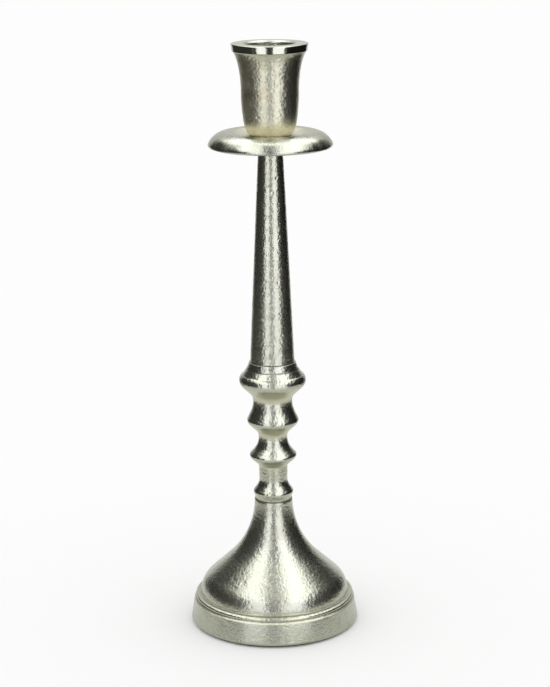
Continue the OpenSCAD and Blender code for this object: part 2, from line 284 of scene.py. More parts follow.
@dataclass(frozen=True)
class NickelFinish(Finish):
    """Warm nickel on a casting: a tint with stains, a roughness that varies, and the marks of the making.

    Grain is the sand's, marks run round the axis and streaks run over a rim. Dull places, which are hollows
    that a polishing mop doesn't reach and tarnished spots, have their own roughness and added grain, and a
    paler tint that is painted light. Grime's dark colour is partly painted shade.
    """

    tint: Colour = (0.43, 0.44, 0.345)
    stain: Colour = (0.36, 0.335, 0.235)
    stain_cell: float = 14.0
    stain_band: Pair = (0.45, 0.75)
    stain_share: float = 0.45
    roughness: float = 0.27
    roughness_spread: float = 0.10
    painted_light_tint: Colour = (0.56, 0.55, 0.41)
    dull_roughness: float = 0.44
    dull_grain: float = 0.0
    grime_and_shade: Colour = (0.05, 0.048, 0.035)
    grime_and_shade_roughness: float = 0.3
    grain_cell: float = 1.15
    grain_height: float = 0.17
    mark_cell: float = 0.0
    mark_height: float = 0.0
    mark_drift: float = 0.02
    streak_cell: float = 0.0
    streak_height: float = 0.0
    streak_drift: float = 0.12
    streak_spread: float = 0.35
    streak_rim_r: float = 28.0

    def dress(self, tree: ShaderTree) -> None:
        """Adds a metal whose bump sums the sand's grain, the lathe's marks and the hand's streaks.

        Args:
            tree: the material's empty tree.
        """
        place = tree.millimetres()
        grain = tree.noise(place, self.grain_cell)
        blotch = tree.noise(place, self.stain_cell, detail=4.0, rough=0.6)
        grime_and_shade, dull = tree.attribute(GRIME_AND_SHADE), tree.attribute(DULL_AND_PAINTED_LIGHT)
        height = grain * (self.grain_height + dull * self.dull_grain)
        rough = self.roughness + (blotch - NOISE_MIDDLE) * self.roughness_spread
        rough = rough + (grain - NOISE_MIDDLE) * self.roughness_spread
        rough = rough + dull * (self.dull_roughness - self.roughness)
        if self.mark_height:
            turned = tree.turning_place(place, self.mark_drift)
            marks = tree.noise(turned, self.mark_cell, detail=4.0, rough=0.7)
            height = height + marks * self.mark_height
            rough = rough + (marks - NOISE_MIDDLE) * self.roughness_spread
        if self.streak_height:
            rubbed = tree.rubbing_place(place, self.streak_rim_r, self.streak_drift)
            streaks = tree.noise(rubbed, self.streak_cell)
            height = height + streaks * self.streak_height
            rough = rough + (streaks - NOISE_MIDDLE) * self.streak_spread
        stained = tree.mixed(blotch.step(*self.stain_band) * self.stain_share, self.tint, self.stain)
        # Painted light: dull places take a paler tint. Grime's dark colour, mixed in below, is partly painted
        # shade.
        stained = tree.mixed(dull, stained, self.painted_light_tint)
        inputs = {
            "Base Color": tree.mixed(grime_and_shade, stained, self.grime_and_shade),
            "Metallic": 1.0,
            "Roughness": rough + grime_and_shade * self.grime_and_shade_roughness,
            "Normal": tree.bump(height),
        }
        tree.show("ShaderNodeBsdfPrincipled", inputs)


@dataclass(frozen=True)
class ZincFinish(Finish):
    """Bright zinc plate: a cool grey with a faint spangle and a fine grit."""

    tint: Colour = (0.46, 0.48, 0.50)
    dull: Colour = (0.34, 0.35, 0.35)
    roughness: float = 0.34
    roughness_spread: float = 0.2
    spangle_cell: float = 1.6
    spangle_band: Pair = (0.35, 0.7)
    grits_in_spangle: float = 6.0
    grit_height: float = 0.008

    def dress(self, tree: ShaderTree) -> None:
        """Adds a metal with a soft spangle in its tint and roughness.

        Args:
            tree: the material's empty tree.
        """
        place = tree.millimetres()
        spangle = tree.noise(place, self.spangle_cell)
        grit = tree.noise(place, self.spangle_cell / self.grits_in_spangle)
        inputs = {
            "Base Color": tree.mixed(spangle.step(*self.spangle_band), self.tint, self.dull),
            "Metallic": 1.0,
            "Roughness": self.roughness + (spangle - NOISE_MIDDLE) * self.roughness_spread,
            "Normal": tree.bump(grit * self.grit_height),
        }
        tree.show("ShaderNodeBsdfPrincipled", inputs)


@dataclass(frozen=True)
class FeltFinish(Finish):
    """Pressed felt: short dark fibres in two shades with a soft sheen."""

    tint: Colour = (0.030, 0.029, 0.027)
    lint: Colour = (0.085, 0.083, 0.078)
    fibre_cell: float = 0.25
    fibre_band: Pair = (0.5, 0.8)
    fibre_height: float = 0.12
    tuft_cell: float = 2.0
    tuft_band: Pair = (0.3, 0.7)
    roughness: float = 0.95
    sheen: float = 0.3
    sheen_roughness: float = 0.6

    def dress(self, tree: ShaderTree) -> None:
        """Adds a matt cloth with a fibrous bump.

        Args:
            tree: the material's empty tree.
        """
        place = tree.millimetres()
        fibre = tree.noise(place, self.fibre_cell, detail=4.0, rough=0.7)
        tuft = tree.noise(place, self.tuft_cell)
        linty = fibre.step(*self.fibre_band) * tuft.step(*self.tuft_band)
        inputs = {
            "Base Color": tree.mixed(linty, self.tint, self.lint),
            "Roughness": self.roughness,
            "Sheen Weight": self.sheen,
            "Sheen Roughness": self.sheen_roughness,
            "Normal": tree.bump(fibre * self.fibre_height),
        }
        tree.show("ShaderNodeBsdfPrincipled", inputs)


@dataclass(frozen=True)
class StageFinish(Finish):
    """An even grey of the studio, matt or glowing."""

    shade: float
    glows: bool = False

    def dress(self, tree: ShaderTree) -> None:
        """Adds the plain shader to the material's empty tree."""
        kind = "ShaderNodeEmission" if self.glows else "ShaderNodeBsdfDiffuse"
        tree.show(kind, {"Color": (self.shade,) * 3})


class FinishRack:
    """The finishes by zone, each made into a material once."""

    def __init__(self) -> None:
        """Lists the finishes."""
        raw = NickelFinish(
            "raw_casting", tint=(0.30, 0.295, 0.24), roughness=0.5, grain_cell=1.2, grain_height=0.10
        )
        # Each finish's tint for dull places is paler: painted light there, beside the rougher finish.
        self.finishes = {
            Zone.CAST: NickelFinish(
                "cast_nickel", painted_light_tint=(0.45, 0.455, 0.345), dull_roughness=0.34, dull_grain=0.2
            ),
            Zone.DRESSED: NickelFinish(
                "dressed_nickel", roughness=0.275, grain_cell=1.25, grain_height=0.16,
                painted_light_tint=(0.46, 0.455, 0.35), dull_roughness=0.36,
            ),
            Zone.BRUSHED: NickelFinish(
                "brushed_nickel", tint=(0.45, 0.45, 0.33), stain=(0.36, 0.30, 0.185), stain_share=0.65,
                roughness=0.31, grain_cell=1.4, grain_height=0.24, painted_light_tint=(0.69, 0.66, 0.465),
                dull_roughness=0.5,
            ),
            Zone.POLISHED: NickelFinish(
                "polished_nickel", stain_share=0.2, roughness=0.12, roughness_spread=0.06, grain_cell=2.2,
                grain_height=0.06, mark_cell=0.4, mark_height=0.004,
            ),
            Zone.BUFFED: NickelFinish(
                "buffed_nickel", tint=(0.50, 0.505, 0.43), stain_share=0.6, roughness=0.36,
                roughness_spread=0.16, grain_cell=2.0, grain_height=0.05, mark_cell=0.5, mark_height=0.02,
            ),
            Zone.TURNED: NickelFinish(
                "turned_nickel", stain_share=0.25, roughness=0.24, roughness_spread=0.08, grain_cell=1.2,
                grain_height=0.24, mark_cell=0.5, mark_height=0.008,
            ),
            Zone.RUBBED: NickelFinish(
                "rubbed_nickel", stain_share=0.3, roughness=0.26, roughness_spread=0.08, grain_cell=0.9,
                grain_height=0.08, mark_cell=0.5, mark_height=0.02, streak_cell=4.0, streak_height=0.10,
                painted_light_tint=(0.57, 0.555, 0.435),
            ),
            Zone.SATIN: NickelFinish(
                "satin_nickel", tint=(0.42, 0.435, 0.35), stain=(0.34, 0.345, 0.235), stain_cell=7.0,
                stain_share=0.7, roughness=0.25, roughness_spread=0.14, grain_cell=1.4, grain_height=0.13,
                mark_cell=0.7, mark_height=0.06,
            ),
            Zone.RAW: raw,
            Zone.MATE: raw,
            Zone.ZINC: ZincFinish("zinc_plate"),
            Zone.FELT: FeltFinish("pressed_felt"),
        }
        self.made: dict[str, bpy.types.Material] = {}

    def material(self, zone: Zone) -> bpy.types.Material:
        """The material of a zone, made on first use.

        Args:
            zone: the zone.

        Returns:
            Its material.
        """
        finish = self.finishes[zone]
        if finish.name not in self.made:
            self.made[finish.name] = finish.material()
        return self.made[finish.name]


# Surface relief


class SandNoise:
    """Smooth noise from -1 to 1 on whole arrays of points.

    Each corner of a cubic lattice has a random height; a point takes the heights of its cell's eight corners,
    blended by a quintic step along each axis. The lattice is turned so that it never lines up with a piece.
    """

    TURN = np.array(Euler((0.61, 0.37, 1.13)).to_matrix())
    PRIMES = np.array([73856093, 19349663, 83492791], dtype=np.int64)
    SEED_STRIDE = 2654435761
    SCRAMBLE = 1274126177
    WORD = 0xFFFFFFFF
    HALF_WORD = 0xFFFF

    def __init__(self, seed: int) -> None:
        """Keeps the seed."""
        self.seed = seed

    def corner(self, cell: Array) -> Array:
        """Random heights of lattice corners, by mixing the bits of their whole-number places.

        Args:
            cell: corners, as an array whose last axis has three whole numbers.

        Returns:
            Heights from -1 to 1.
        """
        mixed = (cell * self.PRIMES).sum(axis=-1) + self.seed * self.SEED_STRIDE
        mixed = (mixed ^ (mixed >> 13)) & self.WORD
        mixed = (mixed * self.SCRAMBLE) & self.WORD
        mixed = mixed ^ (mixed >> 16)
        return (mixed & self.HALF_WORD) / (self.HALF_WORD / 2.0) - 1.0

    def at(self, points: Array, cell: float) -> Array:
        """Noise at points.

        Args:
            points: places in millimetres, with three numbers on the last axis.
            cell: size of a lattice cell, in millimetres.

        Returns:
            The noise at each point.
        """
        turned = points @ self.TURN.T / cell
        low = np.floor(turned).astype(np.int64)
        share = turned - low
        share = share**3 * (share * (share * 6.0 - 15.0) + 10.0)
        total = np.zeros(points.shape[:-1])
        for corner in np.ndindex(2, 2, 2):
            offset = np.array(corner)
            weight = np.where(offset == 1, share, 1.0 - share).prod(axis=-1)
            total += weight * self.corner(low + offset)
        return total


@dataclass(frozen=True)
class Relief:
    """Depth of a surface's unevenness, taken off inwards: fine grain and slow waviness."""

    grain: float = 0.0
    grain_cell: float = 1.5
    wave: float = 0.0
    wave_cell: float = 8.0


RELIEFS = {
    Zone.CAST: Relief(grain=0.09, grain_cell=1.7, wave=0.06, wave_cell=7.0),
    Zone.DRESSED: Relief(grain=0.075, grain_cell=1.7, wave=0.06, wave_cell=7.0),
    Zone.BRUSHED: Relief(grain=0.08, grain_cell=2.4, wave=0.08, wave_cell=7.0),
    Zone.POLISHED: Relief(grain=0.006, grain_cell=2.0, wave=0.02, wave_cell=6.0),
    Zone.BUFFED: Relief(grain=0.006, grain_cell=2.0, wave=0.02, wave_cell=6.0),
    Zone.TURNED: Relief(grain=0.05, grain_cell=1.7, wave=0.04, wave_cell=6.0),
    Zone.RUBBED: Relief(grain=0.020, grain_cell=2.0, wave=0.05, wave_cell=8.0),
    Zone.SATIN: Relief(grain=0.012, grain_cell=2.0, wave=0.03, wave_cell=9.0),
    Zone.RAW: Relief(grain=0.16, grain_cell=2.4, wave=0.16, wave_cell=9.0),
    Zone.MATE: Relief(),
    Zone.ZINC: Relief(grain=0.006, grain_cell=1.0),
    Zone.FELT: Relief(grain=0.05, grain_cell=0.9),
}


def bell_curve(away: Array) -> Array:
    """Falls softly from 1 at no distance: e to the power of minus the distance squared."""
    return np.exp(-(away**2))


@dataclass(frozen=True)
class Ring:
    """A soft ring round the axis. Rings, pits and spots have their heights from the piece's foot."""

    radius: float
    height: float
    width: float

    def at(self, points: Array) -> Array:
        """Strength at points: a bell curve of the distance from the ring over its width."""
        out = np.linalg.norm(points[..., :2], axis=-1) - self.radius
        return bell_curve(np.hypot(out, points[..., 2] - self.height) / self.width)


@dataclass(frozen=True)
class Pit:
    """A casting pit: where it lies and how wide and deep it is. Zero degrees is +X, and the front is 270."""

    angle_deg: float
    height: float
    radius: float
    depth: float


@dataclass(frozen=True)
class Spot:
    """A soft round spot: where its middle lies, its width and its strength. Angles are as for a pit."""

    angle_deg: float
    radius: float
    height: float
    width: float
    strength: float

    def at(self, points: Array) -> Array:
        """Strength at points: a bell curve of the distance from the spot's middle over its width."""
        middle = round_grid(self.radius, self.height, math.radians(self.angle_deg))
        return self.strength * bell_curve(np.linalg.norm(points - middle, axis=-1) / self.width)


@dataclass(frozen=True)
class Patches:
    """What breaks up grime and painted shade, or tarnish and painted light: a level plus a spread times noise
    that has its own seed.
    """

    level: float
    spread: float
    cell: float
    seed_step: int

    def over(self, points: Array, seed: int) -> Array:
        """Strength at each point of a piece, by the piece's seed."""
        return self.level + self.spread * SandNoise(seed + self.seed_step).at(points, self.cell)


# The grime lines are partly painted shade, and the tarnish spots' paler tint is painted light.
GRIME_AND_SHADE_PATCHES = Patches(level=0.75, spread=0.35, cell=3.0, seed_step=50)
TARNISH_AND_PAINTED_LIGHT_PATCHES = Patches(level=0.8, spread=0.4, cell=5.0, seed_step=90)


# Outlines


def arc_points(centre: Any, radius: float, start_deg: float, end_deg: float, chord: float) -> Array:
    """Points of an arc: centre plus radius times (cosine, sine) of even angles.

    Args:
        centre: centre in (radius, height).
        radius: radius of the arc.
        start_deg: first angle.
        end_deg: last angle.
        chord: longest chord.

    Returns:
        The points, at most ARC_STEP_DEG apart.
    """
    turn = abs(end_deg - start_deg)
    count = max(math.ceil(math.radians(turn) * radius / chord), math.ceil(turn / ARC_STEP_DEG), 2)
    angles = np.radians(np.linspace(start_deg, end_deg, count + 1))
    return np.asarray(centre) + radius * np.stack([np.cos(angles), np.sin(angles)], axis=1)


def bow_points(start: Any, end: Any, turn_deg: float, count: int, upright: bool) -> Array:
    """Part of an ellipse: shares of the way go as the sine and as one less the cosine of even angles.

    Args:
        start: first point, in (radius, height).
        end: last point.
        turn_deg: last angle, before the ellipse is stretched.
        count: number of points.
        upright: whether the part leaves its first point upright, and not level.

    Returns:
        The points.
    """
    angles = np.radians(np.linspace(0.0, turn_deg, count))
    shares = [np.sin(angles) / np.sin(angles[-1]), (1.0 - np.cos(angles)) / (1.0 - np.cos(angles[-1]))]
    return np.asarray(start) + np.stack(shares[::-1] if upright else shares, axis=1) * np.subtract(end, start)


def ogee_points(crest: Any, neck: Any, crest_round: float, neck_round: float, chord: float) -> Array:
    """S-curve from a crest to a neck, both upright there.

    An arc on the crest and a hollow arc into the neck are joined by the straight line that touches both.
    Radii that are too large for the stretch shrink alike, until the line's length is zero.

    Args:
        crest: widest point, in (radius, height).
        neck: narrowest point.
        crest_round: radius on the crest.
        neck_round: radius of the hollow.
        chord: longest chord.

    Returns:
        The points from crest to neck.
    """
    side = math.copysign(1.0, neck[1] - crest[1])
    rise = abs(neck[1] - crest[1])
    fall = crest[0] - neck[0]
    fit = min(1.0, (rise**2 + fall**2) / (2.0 * fall) / (crest_round + neck_round))
    r1, r2 = crest_round * fit, neck_round * fit
    total = r1 + r2
    line = math.sqrt(max(0.0, rise**2 + (total - fall) ** 2 - total**2))
    turn = math.degrees(math.atan2(rise, total - fall) - math.atan2(line, total))
    on_crest = arc_points((0.0, 0.0), r1, 0.0, turn, chord)
    in_neck = arc_points((0.0, 0.0), r2, turn, 0.0, chord)
    first = np.stack([crest[0] - r1 + on_crest[:, 0], crest[1] + side * on_crest[:, 1]], axis=1)
    second = np.stack([neck[0] + r2 - in_neck[:, 0], neck[1] - side * in_neck[:, 1]], axis=1)
    return np.concatenate([first, second])


@dataclass
class Outline:
    """An outline in (radius, height) with the metal on its left, each stretch with a zone and a grid step.

    Its points are given from the piece's foot, which lift puts in its place. Grid is the usual step.
    """

    lift: float
    grid: float
    points: list[Array] = field(default_factory=list)
    zones: list[Zone] = field(default_factory=list)
    steps: list[float] = field(default_factory=list)

    NO_LENGTH = 1e-6

    def run(self, zone: Zone, points: Any, step: float | None = None) -> None:
        """Carries the outline on through points.

        Args:
            zone: finish of the stretch that leads to them.
            points: (radius, height) pairs.
            step: longest distance between rows of the grid there, or None for the outline's own grid.
        """
        added = np.asarray(points, dtype=float).reshape(-1, 2) + (0.0, self.lift)
        self.points.append(added)
        self.zones += [zone] * len(added)
        self.steps += [step or self.grid] * len(added)

    def rows(self, closed: bool) -> tuple[Array, list[Zone]]:
        """Splits the outline into rows no further apart than each stretch's step.

        Args:
            closed: whether the last point goes back to the first.

        Returns:
            The rows as (radius, height), and the zone of the band of faces after each row.
        """
        knots = np.concatenate(self.points)
        ends = np.roll(knots, -1, axis=0) if closed else knots[1:]
        starts = knots[: len(ends)]
        after = np.roll(np.arange(len(knots)), -1)[: len(ends)]
        length = np.linalg.norm(ends - starts, axis=1)
        count = np.maximum(np.ceil(length / np.array(self.steps)[after]), 1).astype(int)
        count[length < self.NO_LENGTH] = 0
        stretch = np.repeat(np.arange(len(ends)), count)
        first = np.repeat(np.cumsum(count) - count, count)
        share = (np.arange(count.sum()) - first) / np.repeat(count, count)
        rows = starts[stretch] + share[:, None] * (ends - starts)[stretch]
        zones = [self.zones[after[k]] for k in stretch]
        return (rows, zones) if closed else (np.concatenate([rows, knots[-1:]]), zones)


# Meshes


def even_angles(count: int) -> Array:
    """Angles spread evenly over a full turn."""
    return np.linspace(0.0, FULL_TURN, count, endpoint=False)


def round_grid(radius: Any, height: Any, angles: Any) -> Array:
    """Points (radius times cosine, radius times sine, height), on the grid that the three span together."""
    radius, height, angles = np.broadcast_arrays(radius, height, angles)
    return np.stack([radius * np.cos(angles), radius * np.sin(angles), height], axis=-1)


def quads_between(rows: int, columns: int, wrap_rows: bool, wrap_columns: bool = True) -> Array:
    """Quads of a grid of points, counted row by row, facing out where rows run with the metal on their left.

    Args:
        rows: rows of points.
        columns: points in a row.
        wrap_rows: whether the last row joins the first.
        wrap_columns: whether the last column joins the first.

    Returns:
        Four point numbers for each quad, band after band.
    """
    low = np.arange(rows if wrap_rows else rows - 1)
    here = np.arange(columns if wrap_columns else columns - 1)
    up, across = (low + 1) % rows, (here + 1) % columns
    corners = [(low, here), (low, across), (up, across), (up, here)]
    return np.stack([r[:, None] * columns + c[None, :] for r, c in corners], axis=-1).reshape(-1, 4)


def fan(ring: Array, tip: int) -> Array:
    """Triangles from each edge of a ring of points to a tip."""
    return np.stack([ring, np.roll(ring, -1), np.full(len(ring), tip)], axis=1)


def capped(grid: Array, tips: Pair) -> tuple[Array, list[list[int]]]:
    """Closes a grid of rings with a fan of triangles to a tip on the axis at each end.

    Args:
        grid: points by row and angle.
        tips: heights of the tips beyond the first and the last row.

    Returns:
        The points with the tips last, and the faces with the two fans last.
    """
    rows, columns = grid.shape[:2]
    last = rows * columns
    ring = np.arange(columns)
    faces = quads_between(rows, columns, False).tolist()
    faces += fan(ring[::-1], last).tolist() + fan(ring + last - columns, last + 1).tolist()
    return np.concatenate([grid.reshape(-1, 3), [(0.0, 0.0, z) for z in tips]]), faces


def linked(name: str, data: bpy.types.ID) -> bpy.types.Object:
    """Makes an object and links it into the scene.

    Args:
        name: name of the object.
        data: its mesh, lamp or camera.

    Returns:
        The object.
    """
    made = bpy.data.objects.new(name, data)
    bpy.context.scene.collection.objects.link(made)
    return made


def node_span(node: str) -> tuple[float, float, float]:
    """Foot height, top height and largest radius of a CAD node, in millimetres."""
    low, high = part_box(node)
    return low.z / MM, high.z / MM, max(high.x, high.y) / MM


@dataclass
class Shell:
    """A mesh in the making: points in millimetres, faces, their zones, and the points' grime, partly painted
    shade, and dullness, whose paler tint is painted light.
    """

    points: Array
    faces: list[list[int]]
    zones: list[Zone]
    wear_and_painted_light: dict[str, Array] = field(default_factory=dict)

    def place(self, name: str, node: str, body: str, slot: str, rack: FinishRack) -> None:
        """Makes the piece, which stands for its CAD node and rides on its body.

        Args:
            name: name of the piece.
            node: CAD node that it stands for.
            body: CAD body that carries it.
            slot: not used.
            rack: the finishes.
        """
        mesh = bpy.data.meshes.new(name)
        mesh.from_pydata((self.points * MM).tolist(), [], self.faces)
        used = list(dict.fromkeys(self.zones))
        for zone in used:
            mesh.materials.append(rack.material(zone))
        number = {zone: k for k, zone in enumerate(used)}
        mesh.polygons.foreach_set("material_index", [number[z] for z in self.zones])
        mesh.polygons.foreach_set("use_smooth", np.ones(len(self.faces), dtype=bool))
        for layer, values in self.wear_and_painted_light.items():
            mesh.attributes.new(layer, "FLOAT", "POINT").data.foreach_set("value", values.astype(np.float32))
        mesh.update()
        mesh.set_sharp_from_angle(angle=math.radians(SHARP_EDGE_DEG))
        made = linked(name, mesh)
        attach(made, body)
        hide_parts(node)
        log.info("%s on %s: %d triangles", name, body, len(mesh.loops) - 2 * len(mesh.polygons))


@dataclass
class Turning:
    """A turned surface: an outline carried round the axis, with relief, pits, grime lines that are partly
    painted shade, and dull places whose paler tint is painted light.

    Tips close an outline that starts and ends off the axis; without them the outline is a ring of its own.
    """

    outline: Outline
    columns: int
    seed: int
    tips: Pair | None = None
    grime_and_shade_lines: tuple[Ring, ...] = ()
    dull_and_painted_light_rings: tuple[Ring, ...] = ()
    dull_and_painted_light_spots: tuple[Spot, ...] = ()
    pits: tuple[Pit, ...] = ()

    FADE = np.array([0.25, 0.5, 0.25])
    FINE_SHARE = 0.35
    FINE_CELL = 0.53
    OUTER_FIRST = 0.01
    HOLLOW_REACH = 3.0
    HOLLOW_FROM = 0.05
    HOLLOW_SPAN = 0.35
    NO_LENGTH = 1e-9

    def shell(self) -> Shell:
        """Works out the surface.

        A point at a row and an angle is the outline's (radius, height) there, moved in along the outline's
        normal by the relief.

        Returns:
            The surface, closed in a ring, or with a tip at each end where tips gives their heights.
        """
        closed = self.tips is None
        rows, zones = self.outline.rows(closed)
        angles = even_angles(self.columns)
        smooth = round_grid(rows[:, :1], rows[:, 1:], angles)
        local = smooth - (0.0, 0.0, self.outline.lift)
        normal = self.normals(rows, closed)
        depth = self.relief(zones, smooth, closed) + self.pit_depth(local)
        points = round_grid(rows[:, :1] - depth * normal[:, :1], rows[:, 1:] - depth * normal[:, 1:], angles)
        # Grime lines, partly painted shade, and dullness from hollows, rings and spots, whose paler tint is
        # painted light.
        grime_and_shade = self.strongest(self.grime_and_shade_lines, local) * GRIME_AND_SHADE_PATCHES.over(smooth, self.seed)
        tarnish_and_painted_light = self.strongest(self.dull_and_painted_light_spots, local) * TARNISH_AND_PAINTED_LIGHT_PATCHES.over(smooth, self.seed)
        dull = np.maximum(self.hollowness(rows, normal)[:, None], self.strongest(self.dull_and_painted_light_rings, local))
        dull = np.maximum(dull, np.clip(tarnish_and_painted_light, 0.0, 1.0))
        wear_and_painted_light = {GRIME_AND_SHADE: np.clip(grime_and_shade, 0.0, 1.0).reshape(-1), DULL_AND_PAINTED_LIGHT: dull.reshape(-1)}
        face_zones = np.repeat(zones, self.columns).tolist()
        if closed:
            faces = quads_between(len(rows), self.columns, True).tolist()
            return Shell(points.reshape(-1, 3), faces, face_zones, wear_and_painted_light)
        points, faces = capped(points, (self.outline.lift + self.tips[0], self.outline.lift + self.tips[1]))
        face_zones += [zones[0]] * self.columns + [zones[-1]] * self.columns
        wear_and_painted_light = {layer: np.append(values, (0.0, 0.0)) for layer, values in wear_and_painted_light.items()}
        return Shell(points, faces, face_zones, wear_and_painted_light)

    def relief(self, zones: list[Zone], points: Array, closed: bool) -> Array:
        """Depth taken off at each point: grain and waviness of its row's zone, faded between zones.

        Args:
            zones: zone of each band of faces.
            points: the smooth surface.
            closed: whether the rows form a ring.

        Returns:
            The depth, with one number for each point.
        """
        recipes = [RELIEFS[z] for z in zones]
        if not closed:
            recipes.append(recipes[-1])
        grain, grain_cell, wave, wave_cell = np.array(
            [(r.grain, r.grain_cell, r.wave, r.wave_cell) for r in recipes]
        ).T
        quiet = grain == 0.0
        quiet |= np.roll(quiet, 1)
        grain, wave = (self.faded(np.where(quiet, 0.0, a)) for a in (grain, wave))
        return self.layer(points, grain, grain_cell, self.FINE_SHARE) + self.layer(points, wave, wave_cell)

    def faded(self, depths: Array) -> Array:
        """Depths of the rows, eased down beside shallower ones."""
        return np.minimum(depths, np.convolve(np.pad(depths, 1, "edge"), self.FADE, "valid"))

    def layer(self, points: Array, depths: Array, cells: Array, fine_share: float = 0.0) -> Array:
        """One layer of relief: noise, halved and lifted to run from 0 to each row's depth.

        Args:
            points: the smooth surface.
            depths: depth of each row.
            cells: size of each row's spots.
            fine_share: share of finer noise that is mixed in.

        Returns:
            The depth at each point.
        """
        noise = SandNoise(self.seed)
        depth = np.zeros(points.shape[:2])
        for cell in np.unique(cells):
            mask = cells == cell
            height = (1.0 - fine_share) * noise.at(points[mask], cell)
            if fine_share:
                height += fine_share * noise.at(points[mask], cell * self.FINE_CELL)
            depth[mask] = depths[mask, None] * (0.5 + 0.5 * height)
        return depth

    def pit_depth(self, points: Array) -> Array:
        """Depth of the casting pits, each a spot on the outer wall at the pit's height.

        Args:
            points: the smooth surface, from the piece's foot.

        Returns:
            The depth at each point.
        """
        row_r, row_z = points[:, 0, 0], points[:, 0, 2]
        depth = np.zeros(points.shape[:2])
        for pit in self.pits:
            near = np.argmin(np.abs(row_z - pit.height) - self.OUTER_FIRST * row_r)
            depth += Spot(pit.angle_deg, row_r[near], pit.height, pit.radius, pit.depth).at(points)
        return depth

    @staticmethod
    def strongest(marks: tuple[Ring | Spot, ...], points: Array) -> Array:
        """The strongest mark's number at each point, or 0 without marks."""
        return np.max([np.zeros(points.shape[:2]), *(mark.at(points) for mark in marks)], axis=0)

    def hollowness(self, rows: Array, normal: Array) -> Array:
        """How far each row lies in a hollow.

        Round a row, the outline's points within a few millimetres are weighed by a bell curve; how far they
        rise on average over the row's own tangent tells the hollow's depth there.

        Args:
            rows: the outline's rows.
            normal: their outward normals.

        Returns:
            A number for each row, from 0 on flat or full stretches to 1 in a tight hollow.
        """
        span = np.linalg.norm(np.roll(rows, -1, axis=0) - rows, axis=1)
        weight = 0.5 * (span + np.roll(span, 1))
        gap = rows[None] - rows[:, None]
        near = np.exp(-np.sum(gap**2, axis=-1) / (2.0 * self.HOLLOW_REACH**2)) * weight[None]
        rise = (near * np.einsum("ijk,ik->ij", gap, normal)).sum(axis=1) / near.sum(axis=1)
        share = np.clip((rise - self.HOLLOW_FROM) / self.HOLLOW_SPAN, 0.0, 1.0)
        return share * share * (3.0 - 2.0 * share)

    def normals(self, rows: Array, closed: bool) -> Array:
        """Outward normals of the outline: its direction turned a quarter to the right.

        Args:
            rows: the outline's rows.
            closed: whether they form a ring.

        Returns:
            A (radius, height) direction of length 1 for each row.
        """
        if closed:
            along = np.roll(rows, -1, axis=0) - np.roll(rows, 1, axis=0)
        else:
            along = np.gradient(rows, axis=0)
        right = np.stack([along[:, 1], -along[:, 0]], axis=1)
        return right / np.maximum(np.linalg.norm(right, axis=1, keepdims=True), self.NO_LENGTH)


# Castings


